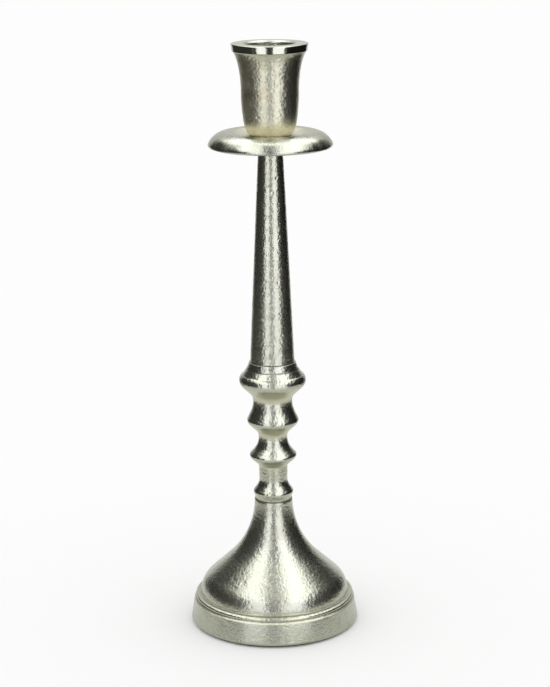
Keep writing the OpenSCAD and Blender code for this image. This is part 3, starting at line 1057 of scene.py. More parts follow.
@dataclass
class BellFoot:
    """Hollow bell with a grooved bead and a satin band at its foot."""

    foot_round: float = 1.2
    band_h: float = 10.6
    band_flare: float = 1.6
    rim_w: float = 5.8
    bead_step: float = 0.6
    bead_round: float = 1.1
    bead_turn_deg: float = 50.0
    groove_depth: float = 0.35
    groove_w: float = 0.5
    cove_step: float = 1.5
    cove_round: float = 2.8
    cove_turn_deg: float = 60.0
    shoulder_step: float = 0.9
    shoulder_h: float = 13.2
    shoulder_round: float = 12.6
    sweep: float = 40.5
    neck_d: float = 18.3
    neck_rise: float = 0.4
    wall: float = 3.4
    crown_t: float = 18.6
    rod_hole_r: float = 3.3
    seat_break: float = 0.2
    edge_clear: float = 0.02
    seam_w: float = 0.35
    # Widths of the paler rings in the grooves: painted light, with a rougher finish.
    low_groove_painted_light_w: float = 0.6
    high_groove_painted_light_w: float = 0.9
    pits: tuple[Pit, ...] = (
        Pit(238.0, 26.0, 0.9, 0.16),
        Pit(200.0, 20.0, 0.7, 0.2),
        Pit(80.0, 28.0, 0.9, 0.22),
        Pit(140.0, 40.0, 0.7, 0.2),
    )
    skin_grid: float = 0.5
    edge_grid: float = 0.3
    groove_grid: float = 0.25
    cove_chord: float = 0.1
    hollow_grid: float = 1.4
    flat_grid: float = 2.0
    bore_grid: float = 4.0
    columns: int = 400

    def build(self, rack: FinishRack) -> None:
        """Draws the outline, outside up and inside down, and places the piece.

        Args:
            rack: the finishes.
        """
        base_z, top_z, foot_r = node_span("bell_base")
        foot_r -= self.edge_clear
        height = top_z - base_z
        band_r = foot_r - self.band_flare
        bead = np.array([band_r - self.bead_step, self.band_h + self.groove_w + self.bead_round])
        cove_foot = bead + (-self.cove_step, self.bead_round + self.groove_w)
        low_groove = (band_r - self.groove_depth, self.band_h + self.groove_w / 2.0)
        high_groove = (cove_foot[0] - self.groove_depth, cove_foot[1] - self.groove_w / 2.0)
        shoulder = np.array([cove_foot[0] - self.shoulder_step, self.shoulder_h])
        neck = np.array([self.neck_d / 2.0, height + self.neck_rise])
        cove, bell = self.skin(cove_foot, shoulder, neck, height)
        seat_r = bell[-1, 0]
        rim_r = foot_r - self.rim_w
        foot_centre = (foot_r - self.foot_round, self.foot_round)
        foot_edge = arc_points(foot_centre, self.foot_round, -90.0, 0.0, self.edge_grid)
        bead_centre = bead - (self.bead_round, 0.0)
        turn = self.bead_turn_deg
        outline = Outline(base_z, self.skin_grid)
        outline.run(Zone.MATE, [(rim_r, 0.0), (foot_r - self.foot_round, 0.0)], self.flat_grid)
        outline.run(Zone.SATIN, foot_edge)
        outline.run(Zone.SATIN, [(band_r, self.band_h)])
        outline.run(Zone.TURNED, [low_groove], self.groove_grid)
        bead_arc = arc_points(bead_centre, self.bead_round, -turn, turn, self.groove_grid)
        outline.run(Zone.TURNED, bead_arc, self.edge_grid)
        outline.run(Zone.TURNED, [high_groove], self.groove_grid)
        outline.run(Zone.DRESSED, cove, self.edge_grid)
        outline.run(Zone.DRESSED, bell)
        outline.run(Zone.DRESSED, [(seat_r - self.seat_break, height)], self.edge_grid)
        outline.run(Zone.MATE, [(self.rod_hole_r, height)], self.flat_grid)
        self.inside(outline, shoulder, neck, height)
        outline.run(Zone.RAW, [(rim_r, self.shoulder_h - self.wall), (rim_r, 0.0)], self.hollow_grid)
        grime_and_shade_lines = (Ring(seat_r, height, self.seam_w),)
        # The paler rings in both grooves paint light where the grooves' own shade darkens them, and roughen
        # the finish.
        dull_and_painted_light_rings = (Ring(*low_groove, self.low_groove_painted_light_w), Ring(*high_groove, self.high_groove_painted_light_w))
        turning = Turning(outline, self.columns, seed=3, grime_and_shade_lines=grime_and_shade_lines, dull_and_painted_light_rings=dull_and_painted_light_rings, pits=self.pits)
        turning.shell().place("bell_casting", "bell_base", "column", "cast_nickel", rack)

    def skin(self, cove_foot: Array, shoulder: Array, neck: Array, height: float) -> tuple[Array, Array]:
        """The cove above the bead and the bell's S-curve, cut where they meet and below the seat.

        Args:
            cove_foot: lowest point of the cove.
            shoulder: widest point of the bell.
            neck: narrowest point, a little over the seat.
            height: height of the seat.

        Returns:
            The points of the cove and of the bell.
        """
        bell = ogee_points(shoulder, neck, self.shoulder_round, self.sweep, self.skin_grid)
        centre = cove_foot + (0.0, self.cove_round)
        cove = arc_points(centre, self.cove_round, 270.0, 270.0 - self.cove_turn_deg, self.cove_chord)
        cove = cove[cove[:, 0] > np.interp(cove[:, 1], bell[:, 1], bell[:, 0])]
        return cove, bell[(bell[:, 1] > cove[-1, 1]) & (bell[:, 1] < height - self.seat_break)]

    def inside(self, outline: Outline, shoulder: Array, neck: Array, height: float) -> None:
        """Carries the outline down through the rod's hole, along the crown and down the hollow.

        Args:
            outline: the outline so far.
            shoulder: widest point of the bell.
            neck: narrowest point.
            height: height of the seat.
        """
        wall = np.array([self.wall, 0.0])
        rounds = (self.shoulder_round - self.wall, self.sweep + self.wall)
        hollow = ogee_points(shoulder - wall, neck - wall, *rounds, self.hollow_grid)
        ceiling = height - self.crown_t
        ceiling_r = np.interp(ceiling, hollow[:, 1], hollow[:, 0])
        outline.run(Zone.RAW, [(self.rod_hole_r, ceiling)], self.bore_grid)
        outline.run(Zone.RAW, [(ceiling_r, ceiling)], self.hollow_grid)
        outline.run(Zone.RAW, hollow[hollow[:, 1] < ceiling][::-1], self.hollow_grid)


@dataclass
class Baluster:
    """Turned piece with a foot neck, a ring, three beads and a collar, as a chain of S-curves.

    Beads, necks and the ring are (radius, height). Their rounds are (below, above), and a neck's are for the
    curve that ends in it and for the one that leaves it.
    """

    foot_neck: Pair = (8.7, 0.7)
    ring: Pair = (9.65, 3.6)
    ring_round: float = 1.6
    low_neck: Pair = (6.8, 10.1)
    low_neck_top: Pair = (6.9, 16.5)
    low_neck_rounds: Pair = (6.0, 1.2)
    low_bead: Pair = (11.3, 22.1)
    low_bead_rounds: Pair = (2.3, 1.1)
    mid_neck: Pair = (6.9, 31.2)
    mid_neck_rounds: Pair = (9.8, 4.6)
    mid_bead: Pair = (12.4, 39.6)
    mid_bead_rounds: Pair = (2.9, 1.8)
    high_neck: Pair = (9.4, 49.2)
    high_neck_rounds: Pair = (13.0, 5.0)
    big_bead: Pair = (16.0, 59.5)
    big_bead_rounds: Pair = (4.6, 3.3)
    big_bead_turn_deg: float = 60.0
    collar_r: float = 12.35
    collar_top_r: float = 11.25
    collar_h: float = 3.3
    collar_round: float = 0.4
    shaft_lap: float = 0.4
    rod_hole_r: float = 3.3
    seat_break: float = 0.2
    seat_seam_w: float = 0.35
    collar_seam_w: float = 0.25
    # Paler rings over the necks, under the beads: painted light, with a rougher finish.
    neck_painted_light_out: float = 1.0
    neck_painted_light_reaches: tuple[float, ...] = (2.0, 3.6, 4.6)
    skin_grid: float = 0.35
    collar_chord: float = 0.1
    flat_grid: float = 2.0
    bore_grid: float = 5.0
    columns: int = 224

    def build(self, rack: FinishRack) -> None:
        """Chains the S-curves from the seat up to the collar and places the piece.

        Args:
            rack: the finishes.
        """
        seat_z, top_z, _ = node_span("baluster")
        height = top_z - seat_z
        shaft_r = node_span("tapered_shaft")[2]
        seat_r, grid = self.foot_neck[0], self.skin_grid
        edge = (self.collar_top_r - self.collar_round, height - self.collar_round)
        big_round = self.big_bead_rounds[1]
        big_centre = (self.big_bead[0] - big_round, self.big_bead[1])
        outline = Outline(seat_z, grid)
        outline.run(Zone.MATE, [(self.rod_hole_r, 0.0), (seat_r - self.seat_break, 0.0)], self.flat_grid)
        outline.run(Zone.TURNED, [(seat_r, self.seat_break)])
        for crest, neck, crest_round, neck_round, rising in (
            (self.ring, self.foot_neck, self.ring_round, self.ring_round / 2.0, True),
            (self.ring, self.low_neck, self.ring_round, self.low_neck_rounds[0], False),
            (self.low_bead, self.low_neck_top, self.low_bead_rounds[0], self.low_neck_rounds[1], True),
            (self.low_bead, self.mid_neck, self.low_bead_rounds[1], self.mid_neck_rounds[0], False),
            (self.mid_bead, self.mid_neck, self.mid_bead_rounds[0], self.mid_neck_rounds[1], True),
            (self.mid_bead, self.high_neck, self.mid_bead_rounds[1], self.high_neck_rounds[0], False),
            (self.big_bead, self.high_neck, self.big_bead_rounds[0], self.high_neck_rounds[1], True),
        ):
            curve = ogee_points(crest, neck, crest_round, neck_round, grid)
            outline.run(Zone.TURNED, curve[::-1] if rising else curve)
        outline.run(Zone.TURNED, arc_points(big_centre, big_round, 0.0, self.big_bead_turn_deg, grid))
        outline.run(Zone.TURNED, [(self.collar_r, height - self.collar_h)])
        outline.run(Zone.TURNED, arc_points(edge, self.collar_round, 0.0, 90.0, self.collar_chord))
        outline.run(Zone.TURNED, [(shaft_r - self.shaft_lap, height)])
        outline.run(Zone.MATE, [(self.rod_hole_r, height)], self.flat_grid)
        outline.run(Zone.MATE, [(self.rod_hole_r, 0.0)], self.bore_grid)
        grime_and_shade_lines = (
            Ring(seat_r, 0.0, self.seat_seam_w),
            Ring(self.collar_r, height - self.collar_h, self.collar_seam_w),
        )
        # Paler rings under the beads paint light over the dark reflections there, and roughen the finish.
        necks = (self.low_neck_top, self.mid_neck, self.high_neck)
        dull_and_painted_light_rings = tuple(
            Ring(neck[0] + self.neck_painted_light_out, neck[1] + reach, reach)
            for neck, reach in zip(necks, self.neck_painted_light_reaches)
        )
        turning = Turning(outline, self.columns, seed=7, grime_and_shade_lines=grime_and_shade_lines, dull_and_painted_light_rings=dull_and_painted_light_rings)
        turning.shell().place("turned_baluster", "baluster", "column", "turned_nickel", rack)


@dataclass
class TaperedShaft:
    """Long sand-cast taper, tapped at both ends."""

    top_r: float = 5.65
    swell: float = 0.1
    end_break: float = 0.25
    tapped_r: float = 3.05
    rod_hole: float = 17.5
    stud_hole: float = 11.5
    foot_seam_w: float = 0.2
    top_seam_w: float = 0.4
    tarnish_deg: float = 222.0
    tarnish_h: float = 5.0
    tarnish_w: float = 44.0
    tarnish_strength: float = 0.5
    pits: tuple[Pit, ...] = (
        Pit(295.0, 89.0, 0.6, 0.22),
        Pit(276.0, 82.0, 0.5, 0.22),
        Pit(290.0, 40.0, 0.55, 0.15),
        Pit(120.0, 70.0, 0.6, 0.22),
        Pit(60.0, 25.0, 0.6, 0.22),
    )
    taper_points: int = 60
    skin_grid: float = 0.42
    edge_grid: float = 0.4
    flat_grid: float = 2.0
    bore_grid: float = 4.0
    columns: int = 150

    def build(self, rack: FinishRack) -> None:
        """Draws the taper: a straight line plus a slight swell, four times share times what is left of it.

        Args:
            rack: the finishes.
        """
        foot_z, top_z, foot_r = node_span("tapered_shaft")
        length = top_z - foot_z
        share = np.linspace(0.0, 1.0, self.taper_points)[1:-1]
        taper_r = foot_r + (self.top_r - foot_r) * share + self.swell * 4.0 * share * (1.0 - share)
        taper = np.stack([taper_r, length * share], axis=1)
        top_edge = [(self.top_r, length - self.end_break), (self.top_r - self.end_break, length)]
        tips = (self.rod_hole, length - self.stud_hole)
        outline = Outline(foot_z, self.skin_grid)
        outline.run(Zone.MATE, [(self.tapped_r, tips[0]), (self.tapped_r, 0.0)], self.bore_grid)
        outline.run(Zone.MATE, [(foot_r - self.end_break, 0.0)], self.flat_grid)
        outline.run(Zone.CAST, [(foot_r, self.end_break)], self.edge_grid)
        outline.run(Zone.CAST, taper)
        outline.run(Zone.CAST, top_edge)
        outline.run(Zone.MATE, [(self.tapped_r, length), (self.tapped_r, tips[1])], self.bore_grid)
        grime_and_shade_lines = (Ring(foot_r, 0.0, self.foot_seam_w), Ring(self.top_r, length, self.top_seam_w))
        spots = (Spot(self.tarnish_deg, foot_r, self.tarnish_h, self.tarnish_w, self.tarnish_strength),)
        turning = Turning(
            outline, self.columns, seed=11, tips=tips, grime_and_shade_lines=grime_and_shade_lines, dull_and_painted_light_spots=spots, pits=self.pits
        )
        turning.shell().place("shaft_casting", "tapered_shaft", "column", "cast_nickel", rack)


@dataclass
class DripPan:
    """Round plate of even thickness, dished for the cup, with its edge turned down over a radius."""

    thickness: float = 2.6
    edge_round: float = 9.6
    edge_turn_deg: float = 64.0
    dish: float = 1.9
    seat_w: float = 0.5
    hole_r: float = 3.3
    cup_foot_r: float = 9.0
    cup_lap: float = 0.6
    shaft_top_r: float = 5.65
    shaft_lap: float = 0.4
    shaft_seam_w: float = 0.5
    lip_dark_line_w: float = 0.6
    # Paler ring round the cup's foot: painted light where the cup's dark reflection falls on the pan, with a
    # rougher finish.
    painted_light_round_cup: Ring = Ring(12.0, 3.0, 7.0)
    under_grid: float = 0.7
    top_grid: float = 0.5
    lip_chord: float = 0.3
    seat_grid: float = 0.6
    shaft_seat_grid: float = 1.0
    bore_grid: float = 2.0
    columns: int = 300

    def build(self, rack: FinishRack) -> None:
        """Draws the underside, the rounded lip and the dished top, and places the piece.

        Args:
            rack: the finishes.
        """
        _, crest_z, pan_r = node_span("drip_pan")
        pan_z = crest_z - self.thickness - self.dish
        lip_r = self.thickness / 2.0
        reach = self.edge_round - lip_r
        low = 90.0 - self.edge_turn_deg
        crest_r = pan_r - lip_r - reach * math.cos(math.radians(low))
        bend = np.array([crest_r, self.thickness + self.dish - self.edge_round])
        lip = bend + reach * np.array([math.cos(math.radians(low)), math.sin(math.radians(low))])
        seat_r = self.cup_foot_r + self.seat_w
        swing = (self.dish**2 + (crest_r - seat_r) ** 2) / (2.0 * self.dish)
        dish_round = swing - self.edge_round
        turn = math.degrees(math.asin((crest_r - seat_r) / swing))
        hollow = np.array([seat_r, self.thickness + dish_round])
        outline = Outline(pan_z, self.top_grid)
        shaft_seat = [(self.hole_r, 0.0), (self.shaft_top_r - self.shaft_lap, 0.0)]
        outline.run(Zone.MATE, shaft_seat, self.shaft_seat_grid)
        for arc, grid in (
            ((hollow, dish_round + self.thickness, 270.0, 270.0 + turn, self.under_grid), self.under_grid),
            ((bend, self.edge_round - self.thickness, 90.0 + turn, low, self.under_grid), self.under_grid),
            ((lip, lip_r, low - 180.0, low, self.lip_chord), None),
            ((bend, self.edge_round, low, 90.0 + turn, self.top_grid), None),
            ((hollow, dish_round, 270.0 + turn, 270.0, self.top_grid), None),
        ):
            outline.run(Zone.RUBBED, arc_points(*arc), grid)
        outline.run(Zone.RUBBED, [(self.cup_foot_r - self.cup_lap, self.thickness)], self.seat_grid)
        outline.run(Zone.MATE, [(self.hole_r, self.thickness), (self.hole_r, 0.0)], self.bore_grid)
        # The line at the shaft's joint is grime; the line under the turned-down edge is painted shade, with
        # some soot.
        grime_and_shade_lines = (
            Ring(self.shaft_top_r, 0.0, self.shaft_seam_w),
            Ring(lip[0], lip[1] - lip_r, self.lip_dark_line_w),
        )
        turning = Turning(outline, self.columns, seed=13, grime_and_shade_lines=grime_and_shade_lines, dull_and_painted_light_rings=(self.painted_light_round_cup,))
        turning.shell().place("pan_plate", "drip_pan", "column", "turned_nickel", rack)


@dataclass
class CandleCup:
    """Vase-shaped socket with a polished lip and a straight bore for the candle."""

    foot_r: float = 9.0
    foot_w: float = 3.6
    foot_rise: float = 7.9
    foot_turn_deg: float = 70.0
    waist_r: float = 13.5
    waist_h: float = 20.1
    flare_r: float = 17.25
    flare_turn_deg: float = 71.0
    lip_h: float = 3.4
    lip_low_r: float = 17.5
    lip_round: float = 0.5
    bore_r: float = 11.5
    bore_depth: float = 25.0
    mouth_chamfer: float = 0.8
    tapped_r: float = 3.05
    stud_hole: float = 10.5
    top_clear: float = 0.01
    lip_dark_line_w: float = 0.2
    floor_seam_w: float = 0.8
    # Paler ring on the cup's foot: painted light, with a rougher finish.
    painted_light_round_foot: Ring = Ring(11.0, 2.5, 7.0)
    # Rougher, tarnished spots on the left side, whose paler tint paints light on that side.
    tarnish_and_painted_light: tuple[Spot, ...] = (
        Spot(208.0, 12.6, 13.0, 9.0, 0.95),
        Spot(204.0, 13.5, 27.0, 10.0, 0.85),
    )
    pits: tuple[Pit, ...] = (
        Pit(243.0, 9.9, 0.7, 0.14),
        Pit(100.0, 15.0, 0.8, 0.22),
    )
    foot_points: int = 30
    flare_points: int = 40
    skin_grid: float = 0.42
    foot_grid: float = 0.4
    lip_grid: float = 0.4
    lip_step_grid: float = 0.2
    lip_chord: float = 0.12
    mouth_grid: float = 0.5
    bore_grid: float = 0.6
    floor_grid: float = 0.8
    floor_tip_r: float = 1.5
    seat_grid: float = 2.0
    tapped_grid: float = 3.0
    columns: int = 260

    def build(self, rack: FinishRack) -> None:
        """Draws the foot, the long side, the flare, the lip and the bore, and places the piece.

        Args:
            rack: the finishes.
        """
        cup_z, top_z, lip_r = node_span("candle_cup")
        height = top_z - cup_z - self.top_clear
        lip_z = height - self.lip_h
        floor_z = height - self.bore_depth
        edge = (lip_r - self.lip_round, height - self.lip_round)
        mouth = [(self.bore_r + self.mouth_chamfer, height), (self.bore_r, height - self.mouth_chamfer)]
        seat, wall = (self.foot_r, 0.0), (self.foot_r + self.foot_w, self.foot_rise)
        waist, brim = (self.waist_r, self.waist_h), (self.flare_r, lip_z)
        foot = bow_points(seat, wall, self.foot_turn_deg, self.foot_points, upright=False)
        flare = bow_points(waist, brim, self.flare_turn_deg, self.flare_points, upright=True)
        outline = Outline(cup_z, self.skin_grid)
        outline.run(Zone.MATE, [(self.tapped_r, self.stud_hole), (self.tapped_r, 0.0)], self.tapped_grid)
        outline.run(Zone.MATE, [seat], self.seat_grid)
        outline.run(Zone.BRUSHED, foot, self.foot_grid)
        outline.run(Zone.BRUSHED, self.side())
        outline.run(Zone.BRUSHED, flare[1:])
        outline.run(Zone.POLISHED, [(self.lip_low_r, lip_z)], self.lip_step_grid)
        outline.run(Zone.POLISHED, arc_points(edge, self.lip_round, 0.0, 90.0, self.lip_chord), self.lip_grid)
        outline.run(Zone.BUFFED, mouth, self.mouth_grid)
        outline.run(Zone.BRUSHED, [(self.bore_r, floor_z)], self.bore_grid)
        outline.run(Zone.RAW, [(self.floor_tip_r, floor_z)], self.floor_grid)
        turning = Turning(
            outline,
            self.columns,
            seed=17,
            tips=(self.stud_hole, floor_z),
            grime_and_shade_lines=(Ring(self.flare_r, lip_z, self.lip_dark_line_w), Ring(self.bore_r, floor_z, self.floor_seam_w)),
            dull_and_painted_light_rings=(self.painted_light_round_foot,),
            dull_and_painted_light_spots=self.tarnish_and_painted_light,
            pits=self.pits,
        )
        turning.shell().place("cup_casting", "candle_cup", "cup", "cast_nickel", rack)

    def side(self) -> Array:
        """Arc from the foot's top to the waist, upright at the waist.

        Returns:
            The points, from the foot.
        """
        swell = self.waist_r - self.foot_r - self.foot_w
        rise = self.waist_h - self.foot_rise
        side_round = (rise**2 + swell**2) / (2.0 * swell)
        turn_deg = math.degrees(math.asin(rise / side_round))
        centre = (self.waist_r - side_round, self.waist_h)
        return arc_points(centre, side_round, -turn_deg, 0.0, self.skin_grid)


@dataclass
class FeltRing:
    """Pressed felt ring under the foot, its edges a little rounded."""

    width: float = 3.6
    edge_round: float = 0.25
    edge_chord: float = 0.1
    grid: float = 0.5
    columns: int = 320

    def build(self, rack: FinishRack) -> None:
        """Draws a flat ring with rounded outer edges and places it.

        Args:
            rack: the finishes.
        """
        low_z, top_z, outer = node_span("felt_ring")
        thick, inner, bend = top_z - low_z, outer - self.width, self.edge_round
        outline = Outline(low_z, self.grid)
        outline.run(Zone.FELT, [(inner, 0.0)])
        for edge_z, start in ((bend, -90.0), (thick - bend, 0.0)):
            edge = arc_points((outer - bend, edge_z), bend, start, start + 90.0, self.edge_chord)
            outline.run(Zone.FELT, edge)
        outline.run(Zone.FELT, [(inner, thick), (inner, 0.0)])
        Turning(outline, self.columns, seed=19).shell().place("felt_pad", "felt_ring", "column", "felt", rack)


# Fasteners


@dataclass
class ThreadedBar:
    """Bar with a real right-hand thread.

    The radius at height z and angle a is the core plus the thread's depth times a clipped triangle wave of
    z over the pitch less a over a full turn, held under a 45 degree cone at each end.
    """

    node: str
    piece: str
    body: str
    pitch: float = 1.0
    depth: float = 0.6
    flank: float = 1.3
    root_flat: float = 0.15
    end_break: float = 0.6
    rows_per_turn: int = 8
    columns: int = 36

    def build(self, rack: FinishRack) -> None:
        """Works out the thread on a grid of (height, angle), closes both ends and places the bar.

        Args:
            rack: the finishes.
        """
        low_z, top_z, radius = node_span(self.node)
        length = top_z - low_z
        heights = np.linspace(0.0, length, int(length / self.pitch * self.rows_per_turn) + 1)[:, None]
        angles = even_angles(self.columns)
        phase = (heights / self.pitch - angles / FULL_TURN) % 1.0
        crest = np.clip(self.flank * np.abs(2.0 * phase - 1.0) - self.root_flat, 0.0, 1.0)
        cone = radius - self.end_break + np.minimum(heights, length - heights)
        thread_r = np.minimum(radius - self.depth * (1.0 - crest), cone)
        points, faces = capped(round_grid(thread_r, heights + low_z, angles), (low_z, top_z))
        shell = Shell(points, faces, [Zone.ZINC] * len(faces))
        shell.place(self.piece, self.node, self.body, "zinc_steel", rack)


@dataclass
class BroadWasher:
    """Punched washer: its lower outer edge is rounded, and its upper outer and lower inner edges bevelled."""

    hole_r: float = 3.3
    edge_round: float = 0.35
    edge_chord: float = 0.15
    grid: float = 1.0
    columns: int = 120

    def build(self, rack: FinishRack) -> None:
        """Draws the ring's section and places it.

        Args:
            rack: the finishes.
        """
        low_z, top_z, outer = node_span("broad_washer")
        thick, bend = top_z - low_z, self.edge_round
        outline = Outline(low_z, self.grid)
        outline.run(Zone.ZINC, [(self.hole_r + bend / 2.0, 0.0)])
        outline.run(Zone.ZINC, arc_points((outer - bend, bend), bend, -90.0, 0.0, self.edge_chord))
        outline.run(Zone.ZINC, [(outer, thick - bend / 2.0), (outer - bend / 2.0, thick)])
        outline.run(Zone.ZINC, [(self.hole_r, thick), (self.hole_r, bend / 2.0)])
        shell = Turning(outline, self.columns, seed=23).shell()
        shell.place("crown_washer", "broad_washer", "column", "zinc_steel", rack)


@dataclass
class SpringWasher:
    """Split ring, pressed flat, with a slit on the +X side."""

    hole_r: float = 3.3
    slit: float = 0.9
    edge_break: float = 0.15
    columns: int = 90

    def build(self, rack: FinishRack) -> None:
        """Carries a bevelled section round from one side of the slit to the other and closes both ends.

        Args:
            rack: the finishes.
        """
        low_z, top_z, outer = node_span("spring_washer")
        inner, cut = self.hole_r, self.edge_break
        section = np.array([
            (inner + cut, low_z), (outer - cut, low_z), (outer, low_z + cut), (outer, top_z - cut),
            (outer - cut, top_z), (inner + cut, top_z), (inner, top_z - cut), (inner, low_z + cut),
        ])
        half = math.asin(self.slit / 2.0 / self.hole_r)
        grid = round_grid(section[:, :1], section[:, 1:], np.linspace(half, FULL_TURN - half, self.columns))
        faces = quads_between(len(section), self.columns, True, False).tolist()
        start = np.arange(len(section)) * self.columns
        faces += [start.tolist(), (start + self.columns - 1)[::-1].tolist()]
        shell = Shell(grid.reshape(-1, 3), faces, [Zone.ZINC] * len(faces))
        shell.place("lock_washer", "spring_washer", "column", "zinc_steel", rack)


@dataclass
class HexNut:
    """Hexagon nut: its corners are turned off at both faces, and its bore is countersunk."""

    flats: float = 10.0
    face_share: float = 0.985
    corner_deg: float = 30.0
    corner_drop: float = 0.04
    bore_r: float = 3.05
    countersink: float = 0.35
    columns: int = 96

    def build(self, rack: FinishRack) -> None:
        """Works out the nut on a grid of (way round the section, angle).

        The side's radius is half the flats over the cosine of the angle from the nearest flat's middle, and
        the turned corner rises by the radius past the flat times the tangent of the corner's angle.

        Args:
            rack: the finishes.
        """
        low_z, top_z, _ = node_span("hex_nut")
        angles = even_angles(self.columns)
        from_flat = np.mod(angles, math.pi / 3.0) - math.pi / 6.0
        side = self.flats / 2.0 / np.cos(from_flat)
        rise = (side - self.flats / 2.0) * math.tan(math.radians(self.corner_deg)) + self.corner_drop
        face_r = self.flats / 2.0 * self.face_share
        mouth_r = self.bore_r + self.countersink
        section = (
            (mouth_r, low_z),
            (face_r, low_z),
            (side, low_z + rise),
            (side, top_z - rise),
            (face_r, top_z),
            (mouth_r, top_z),
            (self.bore_r, top_z - self.countersink),
            (self.bore_r, low_z + self.countersink),
        )
        grid = np.stack([round_grid(radius, height, angles) for radius, height in section])
        faces = quads_between(len(section), self.columns, True).tolist()
        shell = Shell(grid.reshape(-1, 3), faces, [Zone.ZINC] * len(faces))
        shell.place("draw_nut", "hex_nut", "column", "zinc_steel", rack)


# Studio


@dataclass(frozen=True)
class Panel:
    """A flat studio panel that faces the object, in degrees and metres, with its light.

    It lies at an angle to the right of the mid-plane (side), turned up round the X axis from the front
    (pitch), so that a pitch of 90 is overhead and one of 180 is behind.
    """

    name: str
    side: float
    pitch: float
    distance: float
    width: float
    height: float
    light: float

    def matrix(self, aim: Vector) -> Matrix:
        """Place of the panel, its face turned to the aim and its width across the mid-plane.

        Args:
            aim: the place that it faces.

        Returns:
            The panel's matrix.
        """
        side, pitch = math.radians(self.side), math.radians(self.pitch)
        out = Vector((math.sin(side), -math.cos(side) * math.cos(pitch), math.cos(side) * math.sin(pitch)))
        up = Vector((0.0, math.sin(pitch), math.cos(pitch)))
        placed = Matrix((up.cross(out), up, out)).transposed().to_4x4()
        placed.translation = aim + out * self.distance
        return placed


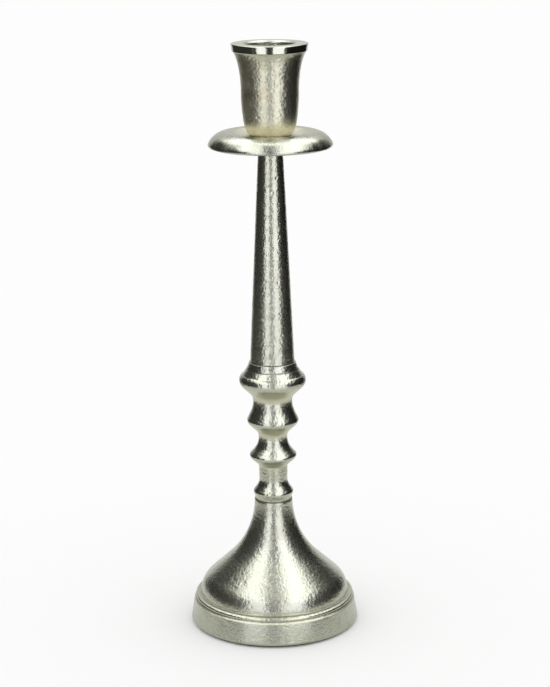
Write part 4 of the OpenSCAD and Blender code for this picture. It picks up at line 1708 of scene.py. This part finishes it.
@dataclass
class Studio:
    """Plain pale floor, soft boxes with dark flags round a bright metal piece, and the photo's camera."""

    aim: Vector = field(default_factory=lambda: Vector((0.0, 0.0, 0.14)))
    table_r: float = 0.30
    floor_r: float = 14.0
    floor_columns: int = 96
    floor_shade: float = 0.985
    dome_shade: Colour = (1.0, 1.0, 1.0)
    softbox_tint: Colour = (0.97, 0.97, 1.10)
    softboxes: tuple[Panel, ...] = (
        Panel("softbox_left", -26.0, 3.0, 1.25, 0.66, 2.02, 2.15),
        Panel("softbox_right", 28.5, 3.0, 1.25, 0.87, 2.02, 2.15),
        Panel("softbox_high_left", -26.5, 62.0, 1.25, 0.71, 0.91, 1.85),
        Panel("softbox_high_right", 33.5, 64.0, 1.25, 1.14, 1.01, 1.85),
        Panel("softbox_back", 0.0, 111.0, 1.30, 1.80, 1.16, 1.8),
    )
    flags: tuple[Panel, ...] = (
        Panel("flag_left", -81.0, 180.0, 0.95, 2.05, 1.9, 0.055),
        Panel("flag_right", 81.0, 180.0, 0.95, 2.05, 1.9, 0.015),
        Panel("flag_front", 0.0, 5.0, 1.9, 5.0, 4.6, 0.06),
        Panel("flag_high", 0.0, 68.0, 1.9, 0.75, 1.0, 0.35),
        Panel("flag_back", 0.0, 156.0, 1.6, 2.6, 1.1, 0.72),
    )
    camera_place: tuple[float, float, float] = (0.0, -0.9030, 0.3726)
    camera_pitch_deg: float = -14.53
    camera_roll_deg: float = -0.5
    camera_yaw_deg: float = -0.085
    lens: float = 102.9
    sensor: float = 36.0

    def build(self) -> None:
        """Sets the colour view, the world, the floor, the lamps, the flags and the camera."""
        bpy.context.scene.view_settings.view_transform = "Standard"
        self.world()
        self.floor()
        for panel in self.softboxes:
            self.softbox(panel)
        for panel in self.flags:
            self.flag(panel)
        self.camera()

    def world(self) -> None:
        """An even white dome."""
        world = bpy.data.worlds.new("studio_dome")
        bpy.context.scene.world = world
        ShaderTree(world).show("ShaderNodeBackground", {"Color": self.dome_shade, "Strength": 1.0}, "World")

    def floor(self) -> None:
        """A pale floor that keeps the shadow: a round table, and beyond it floor that mirrors don't show."""
        material = StageFinish("pale_floor", self.floor_shade).material()
        self.lay("floor_table", (self.table_r,), material)
        beyond = self.lay("floor_beyond", (self.floor_r, self.table_r), material)
        beyond.visible_glossy = False
        beyond.visible_shadow = False

    def lay(self, name: str, radii: tuple[float, ...], material: bpy.types.Material) -> bpy.types.Object:
        """A flat disc or ring of floor.

        Args:
            name: name of the piece of floor.
            radii: radius of a disc, or outer and inner radius of a ring.
            material: its material.

        Returns:
            The object.
        """
        grid = round_grid(np.array(radii)[:, None], 0.0, even_angles(self.floor_columns))
        disc = [list(range(self.floor_columns))]
        faces = quads_between(len(radii), self.floor_columns, False).tolist() or disc
        mesh = bpy.data.meshes.new(name)
        mesh.from_pydata(grid.reshape(-1, 3).tolist(), [], faces)
        mesh.materials.append(material)
        made = linked(name, mesh)
        log.info("%s laid", name)
        return made

    def softbox(self, panel: Panel) -> None:
        """A soft box for the metal: of even radiance, so its power is radiance times its area times pi.

        Args:
            panel: its place and size, with its radiance as light.
        """
        lamp = bpy.data.lights.new(panel.name, "AREA")
        lamp.shape = "RECTANGLE"
        lamp.size, lamp.size_y = panel.width, panel.height
        lamp.energy = panel.light * panel.width * panel.height * math.pi
        lamp.color = self.softbox_tint
        made = linked(panel.name, lamp)
        made.matrix_world = panel.matrix(self.aim)
        made.visible_camera = False
        made.visible_diffuse = False

    def flag(self, panel: Panel) -> None:
        """A dark flag that only mirrors show, so that it takes no light off the floor.

        Args:
            panel: its place and size, with its shade as light.
        """
        w, h = panel.width / 2.0, panel.height / 2.0
        mesh = bpy.data.meshes.new(panel.name)
        mesh.from_pydata([(-w, -h, 0.0), (w, -h, 0.0), (w, h, 0.0), (-w, h, 0.0)], [], [(0, 1, 2, 3)])
        mesh.transform(panel.matrix(self.aim))
        mesh.materials.append(StageFinish(panel.name, panel.light, glows=True).material())
        made = linked(panel.name, mesh)
        made.visible_camera = False
        made.visible_diffuse = False
        made.visible_shadow = False

    def camera(self) -> None:
        """The camera at the photograph's place, tilted down, with its small roll and turn."""
        data = bpy.data.cameras.new("camera")
        data.lens, data.sensor_width = self.lens, self.sensor
        made = linked("camera", data)
        turn = Euler((0.0, 0.0, math.radians(self.camera_yaw_deg))).to_matrix()
        tilt = Euler((math.radians(90.0 + self.camera_pitch_deg), 0.0, 0.0)).to_matrix()
        roll = Euler((0.0, 0.0, math.radians(self.camera_roll_deg))).to_matrix()
        matrix = (turn @ tilt @ roll).to_4x4()
        matrix.translation = Vector(self.camera_place)
        made.matrix_world = matrix
        bpy.context.scene.camera = made


def main() -> None:
    """Builds the candlestick from the felt up, then the studio."""
    logging.basicConfig(level=logging.INFO, format="%(name)s: %(message)s")
    rack = FinishRack()
    for part in (
        FeltRing(),
        BellFoot(),
        Baluster(),
        TaperedShaft(),
        DripPan(),
        CandleCup(),
        ThreadedBar("cup_stud", "cup_screw", "stud"),
        ThreadedBar("tie_rod", "draw_rod", "column"),
        BroadWasher(),
        SpringWasher(),
        HexNut(),
    ):
        part.build(rack)
    Studio().build()


if __name__ == "__main__":
    main()
